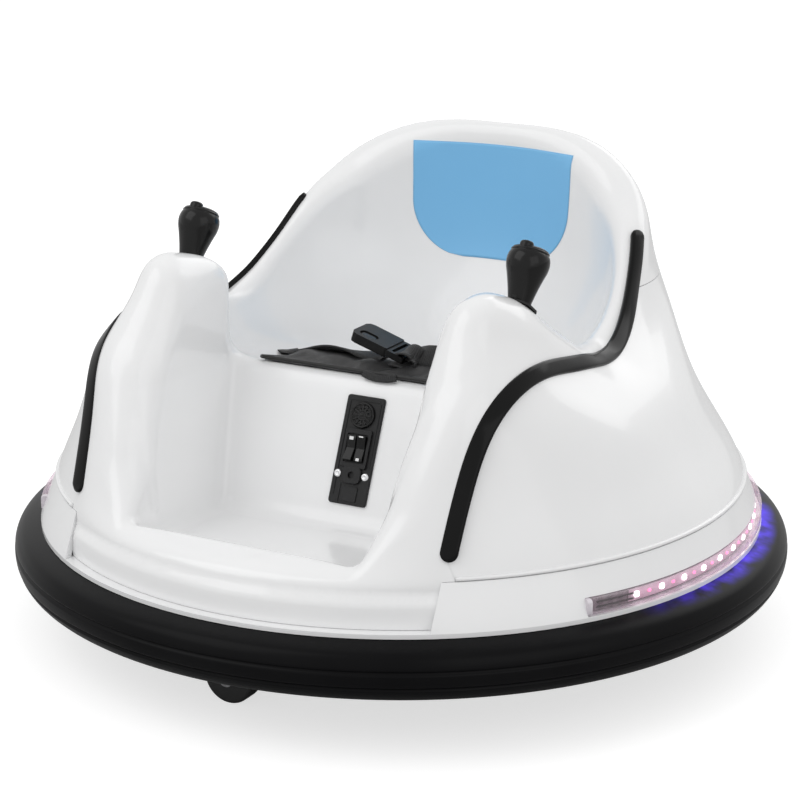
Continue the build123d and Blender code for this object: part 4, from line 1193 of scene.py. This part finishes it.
def pad_form(points):
    """Signed distance from the crowned pad."""
    local = points - SEAT_EDGE
    across, down, lift = local[:, 0], local @ SEAT_DOWN, local @ SEAT_UP
    radius = np.where(down > (PAD_FRONT + PAD_REAR) / 2, PAD_REAR_R, PAD_FRONT_R)
    qx = np.abs(across) - (PAD_HALF - radius)
    qy = np.abs(down - (PAD_FRONT + PAD_REAR) / 2) - ((PAD_REAR - PAD_FRONT) / 2 - radius)
    rim = np.hypot(np.maximum(qx, 0), np.maximum(qy, 0)) + np.minimum(np.maximum(qx, qy), 0) - radius
    crown = PAD_RIM + (PAD_CROWN - PAD_RIM) * ease(-rim / 34)
    return smooth_max(smooth_max(rim, lift - crown, 2.5), 0.3 - lift, 1.2)


def swell(pad, rest):
    """Blow the pad up as cloth under pressure, held where it is sewn, and keep the result."""
    held = pad.vertex_groups.new(name="held")
    for i, lift in enumerate((rest - SEAT_EDGE) @ SEAT_UP):
        held.add([i], 1.0 if lift < HELD_BELOW else 0.0, "REPLACE")
    settings = pad.modifiers.new("swell", "CLOTH").settings
    settings.vertex_group_mass = "held"
    settings.quality = 6
    settings.use_pressure = True
    settings.uniform_pressure_force = CLOTH_PRESSURE
    settings.shrink_min = -0.05
    settings.effector_weights.gravity = 0
    for frame in range(1, CLOTH_FRAMES + 1):
        bpy.context.scene.frame_set(frame)
    swollen = pad.evaluated_get(bpy.context.evaluated_depsgraph_get()).to_mesh()
    move = np.array([v.co for v in swollen.vertices], float) / MM - rest
    pad.modifiers.clear()
    size = np.linalg.norm(move, axis=1)
    move *= (SWELL_CAP * np.tanh(size / SWELL_CAP) / np.maximum(size, 1e-9))[:, None]
    pad.data.vertices.foreach_set("co", ((rest + move) * MM).ravel())
    bpy.context.scene.frame_set(1)


def make_pad(cover, piping):
    """Padded cover, its crown swollen and creased between the sewn rims, with piping and a seam."""
    points, faces = surface_mesh(pad_form, (-115, -100, 205), (115, 75, 285), PAD_CELL)
    pad = new_mesh("pad_cover", points, faces, cover)
    swell(pad, points)
    finer = pad.modifiers.new("finer", "SUBSURF")
    finer.levels = finer.render_levels = 1
    apply_modifiers(pad)
    pad.data.polygons.foreach_set("use_smooth", [True] * len(pad.data.polygons))
    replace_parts(shown(pad, "root"), "seat_pad")
    for name, inset, lift, radius in PAD_CORDS:
        line = np.array(pad_outline(inset))
        shown(tube_loop(name, on_seat(*line.T, lift), radius, piping), "root")


def tube_loop(name, points, radius, material):
    """A round tube along a closed loop of points."""
    along = np.roll(points, -1, 0) - np.roll(points, 1, 0)
    along /= np.linalg.norm(along, axis=1)[:, None]
    sides = np.cross(along, SEAT_UP)
    sides /= np.linalg.norm(sides, axis=1)[:, None]
    ups = np.cross(sides, along)
    angles = np.linspace(0, 2 * math.pi, 10, endpoint=False)[:, None]
    rings = [
        point + radius * (np.cos(angles) * side + np.sin(angles) * up)
        for point, side, up in zip(points, sides, ups)
    ]
    return new_mesh(name, *loop_mesh(rings), material)


BUCKLE_LOW, BUCKLE_TILT = np.array([30.0, -41.5, 265.0]), math.radians(18)
BUCKLE_RUN = np.array([-math.cos(BUCKLE_TILT), 0, math.sin(BUCKLE_TILT)])
BUCKLE_UP = np.array([math.sin(BUCKLE_TILT), 0, math.cos(BUCKLE_TILT)])
BUCKLE_THICK = 9.5
BUCKLE_OUTLINE = [
    (17, -17), (19, -17.6), (50, -18), (54.5, -16.5), (57, -12), (57, 12), (54.5, 16.5), (50, 18),
    (19, 17.6), (17, 17),
]
RELEASE_PLACE, TONGUE_SLOTS = (42, 7.5), (4.0, 11.5)
buckle_frame = (BUCKLE_LOW, BUCKLE_RUN, (0, -1, 0), BUCKLE_UP)


def make_buckle(matt, gloss):
    """Side-release buckle, its high end off the pad: body, tongue with two webbing slots, and release."""
    body = prism("buckle_body", BUCKLE_OUTLINE, 0.3, BUCKLE_THICK, buckle_frame, matt)
    sink(body, rounded_outline(19, 11, 5.4, RELEASE_PLACE), 7.4, 20, buckle_frame)
    bevel(body, 1.6, 4)
    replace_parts(shown(body, "root"), "buckle_socket")
    outline = rounded_outline(16.5, 8.6, 4.2, RELEASE_PLACE)
    release = prism("buckle_release", outline, 4, 8.4, buckle_frame, gloss)
    bevel(release, 0.8)
    shown(release, "root")
    tongue = prism("buckle_tongue_plate", rounded_outline(20, 35, 2, (8, 0)), 2.0, 8.2, buckle_frame, matt)
    for along in TONGUE_SLOTS:
        sink(tongue, rounded_outline(3.6, 28, 1.5, (along, 0)), -5, 20, buckle_frame)
    bevel(tongue, 0.9)
    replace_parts(shown(tongue, "root"), "buckle_tongue")


WEBBING_THICK = 1.8
# Each run of webbing: width, the nodes it stands for, and rows of its middle's place and its direction across
BELT_RUNS = {
    "webbing_left": (25, ("belt_left",), [
        (16, -41.5, 272.0, 0, 1, 0), (24, -41.5, 269.5, 0, 1, 0), (31, -41.5, 270.5, 0, 1, 0.10),
        (37, -41.5, 272.5, 0, 0.96, 0.28), (45, -42, 272.0, 0, 0.75, 0.66), (56, -42, 271.5, 0, 0.52, 0.85),
        (72, -41, 270.5, 0, 0.55, 0.83), (92, -39, 266.0, 0, 0.80, 0.60), (112, -38, 262.5, 0, 0.98, 0.2),
        (132, -40, 262.5, 0, 1, 0), (146, -42, 265.0, 0, 1, 0),
    ]),
    "webbing_right": (25, ("belt_right",), [
        (8, -43, 265.5, 0, 1, 0), (-4, -43, 264.8, 0, 1, 0), (-16, -42, 265.5, 0, 1, -0.05),
        (-30, -40, 266.5, 0, 0.95, -0.28), (-46, -37, 265.0, 0, 0.88, -0.46),
        (-62, -33, 262.0, 0, 0.88, -0.46), (-78, -27, 257.5, 0, 0.93, -0.36),
        (-98, -14, 250.5, 0.1, 0.95, -0.28), (-118, 2, 243.0, 0.2, 0.95, -0.25),
        (-136, 18, 238.0, 0.3, 0.93, -0.2), (-148, 30, 236.5, 0.3, 0.93, -0.1),
    ]),
    "webbing_fold": (22, (), [
        (26, -56, 274, 0.3, 0.95, 0), (34, -52, 276.5, 0.25, 0.95, 0.1), (40, -49, 275.5, 0.2, 0.9, 0.35),
        (43, -48, 270.5, 0.1, 0.8, 0.55), (41, -49, 266.0, 0, 0.8, 0.5), (33, -50, 264.6, 0, 0.95, 0.2),
        (20, -50, 264.2, 0, 1, 0),
    ]),
    "webbing_end": (7, (), [
        (10, -90.5, 262.5, 0, 0.4, 1), (18, -91.8, 260.9, 0, 0.4, 1), (28, -92.4, 260.3, 0, 0.4, 1),
        (38, -91.8, 261.2, 0, 0.4, 1), (44, -90.5, 262.6, 0, 0.4, 1),
    ]),
}


def make_belt(webbing):
    """Lap belt: both halves over the pad from the sides, the loose tail and the end under the pad."""
    for name, (width, nodes, rows) in BELT_RUNS.items():
        path = spline(rows, 70)
        piece = ribbon(name, path[:, :3], path[:, 3:], width, WEBBING_THICK, webbing)
        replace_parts(shown(piece, "root"), *nodes)


# ---- Finishes, and putting it together -----------------------------------------------------------
def finishes():
    """Every finish that the pieces and the CAD nodes take, by a short name."""
    black, deep = (0.005, 0.005, 0.005), (0.003, 0.003, 0.003)
    return {
        "white": finish(
            "white_shell_gloss", (0.86, 0.862, 0.866), (0.885, 0.887, 0.89), 0.22, height=0.01, coat=0.4
        ),
        "trim": finish("trim_gloss", deep, black, 0.16, height=0.01, specular=0.16),
        "gloss": finish("black_gloss", deep, black, 0.18, height=0.01, specular=0.3),
        "matt": finish(
            "black_matt", (0.009, 0.009, 0.0095), (0.014, 0.014, 0.0145), 0.46, grain=("noise", 1200),
            height=0.06, specular=0.3,
        ),
        "blue": finish("decal_blue", (0.19, 0.50, 0.82), (0.205, 0.52, 0.84), 0.42, height=0.02),
        "chrome": finish("chrome", (0.75, 0.75, 0.76), (0.85, 0.85, 0.86), 0.15, height=0.01, metallic=1.0),
        "mark": finish("mark_white", (0.75, 0.75, 0.75), (0.85, 0.85, 0.85), 0.5, height=0.01),
        "cover": finish(
            "pad_leatherette", (0.016, 0.016, 0.0165), (0.028, 0.028, 0.0285), 0.44, ("noise", 25),
            ("cells", 900), 0.25,
        ),
        "piping": finish("pad_piping_black", (0.004, 0.004, 0.004), (0.007, 0.007, 0.007), 0.5),
        "webbing": finish(
            "webbing_black", (0.006, 0.006, 0.006), (0.020, 0.020, 0.021), 0.6, ("wave", 160), ("wave", 240),
            0.4, sheen=0.1,
        ),
        "buckle": finish(
            "buckle_matt", (0.006, 0.006, 0.006), (0.012, 0.012, 0.012), 0.36, height=0.03, specular=0.22
        ),
        "tape": finish("tape_pink", (0.80, 0.50, 0.64), (0.92, 0.72, 0.82), 0.5, ("noise", 90)),
        "cap": finish("cover_end", (0.62, 0.56, 0.62), (0.80, 0.76, 0.80), 0.25, ("noise", 120)),
        "white_chip": lamp_glow("chip_white", (1.0, 0.97, 0.95), 3.0),
        "pink_chip": lamp_glow("chip_pink", (1.0, 0.25, 0.5), 1.2),
        "clear": clear_plastic(),
        "rubber": ring_rubber(),
        "steel": finish(
            "brushed_steel", (0.42, 0.42, 0.43), (0.55, 0.55, 0.56), 0.34, ("wave", 40), ("noise", 1500),
            0.02, metallic=1.0,
        ),
        "tyre": finish(
            "tyre_rubber", (0.012, 0.012, 0.012), (0.022, 0.022, 0.022), 0.7, grain=("cells", 260), height=0.5
        ),
        "hub": finish(
            "hub_grey", (0.10, 0.10, 0.105), (0.13, 0.13, 0.135), 0.45, grain=("noise", 700), height=0.06
        ),
        "case": finish(
            "battery_case", (0.035, 0.04, 0.05), (0.05, 0.055, 0.065), 0.5, grain=("noise", 600), height=0.08
        ),
        "board": finish("board_dark", (0.05, 0.035, 0.04), (0.13, 0.10, 0.115), 0.5, ("wave", 60)),
        "tread": finish(
            "caster_rubber", (0.02, 0.02, 0.02), (0.035, 0.035, 0.035), 0.55, grain=("noise", 500), height=0.1
        ),
    }


# The finish of each CAD node that shows as it is, by the start of its name
NODE_LOOKS = {
    "base_skirt": "white", "base_tray": "matt", "led_board": "board", "lever_slot_plate": "matt",
    "lever_stem": "steel", "drive_tyre": "tyre", "drive_hub": "hub", "gearbox": "matt", "battery": "case",
    "caster_mount": "steel", "caster_fork": "steel", "caster_wheel": "tread",
}
SHARP_NODES = ("base_skirt", "led_board")


def dress_cad_nodes(nodes, looks):
    """Finishes for the CAD pieces that show as they are, with their edges eased."""
    for name, node in nodes.items():
        if node.hide_render:
            continue
        kinds = [look for start, look in NODE_LOOKS.items() if name.startswith(start)]
        paint(node, looks[kinds[0] if kinds else "gloss"])
        if not name.startswith(SHARP_NODES):
            bevel(node, 0.5, 2, 50)


def main():
    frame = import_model()
    set_camera()
    set_stage()
    looks = finishes()
    make_shells(looks["white"])
    make_hem(looks["white"])
    make_trim(looks["trim"])
    make_decal(looks["blue"])
    make_ring(looks["rubber"])
    make_lights(*[looks[name] for name in ("clear", "cap", "tape", "white_chip", "pink_chip", "trim")])
    make_levers(looks["gloss"], looks["matt"])
    make_panel(*[looks[name] for name in ("matt", "gloss", "chrome", "mark")])
    make_pad(looks["cover"], looks["piping"])
    make_buckle(looks["buckle"], looks["gloss"])
    make_belt(looks["webbing"])
    dress_cad_nodes(frame["nodes"], looks)


main()
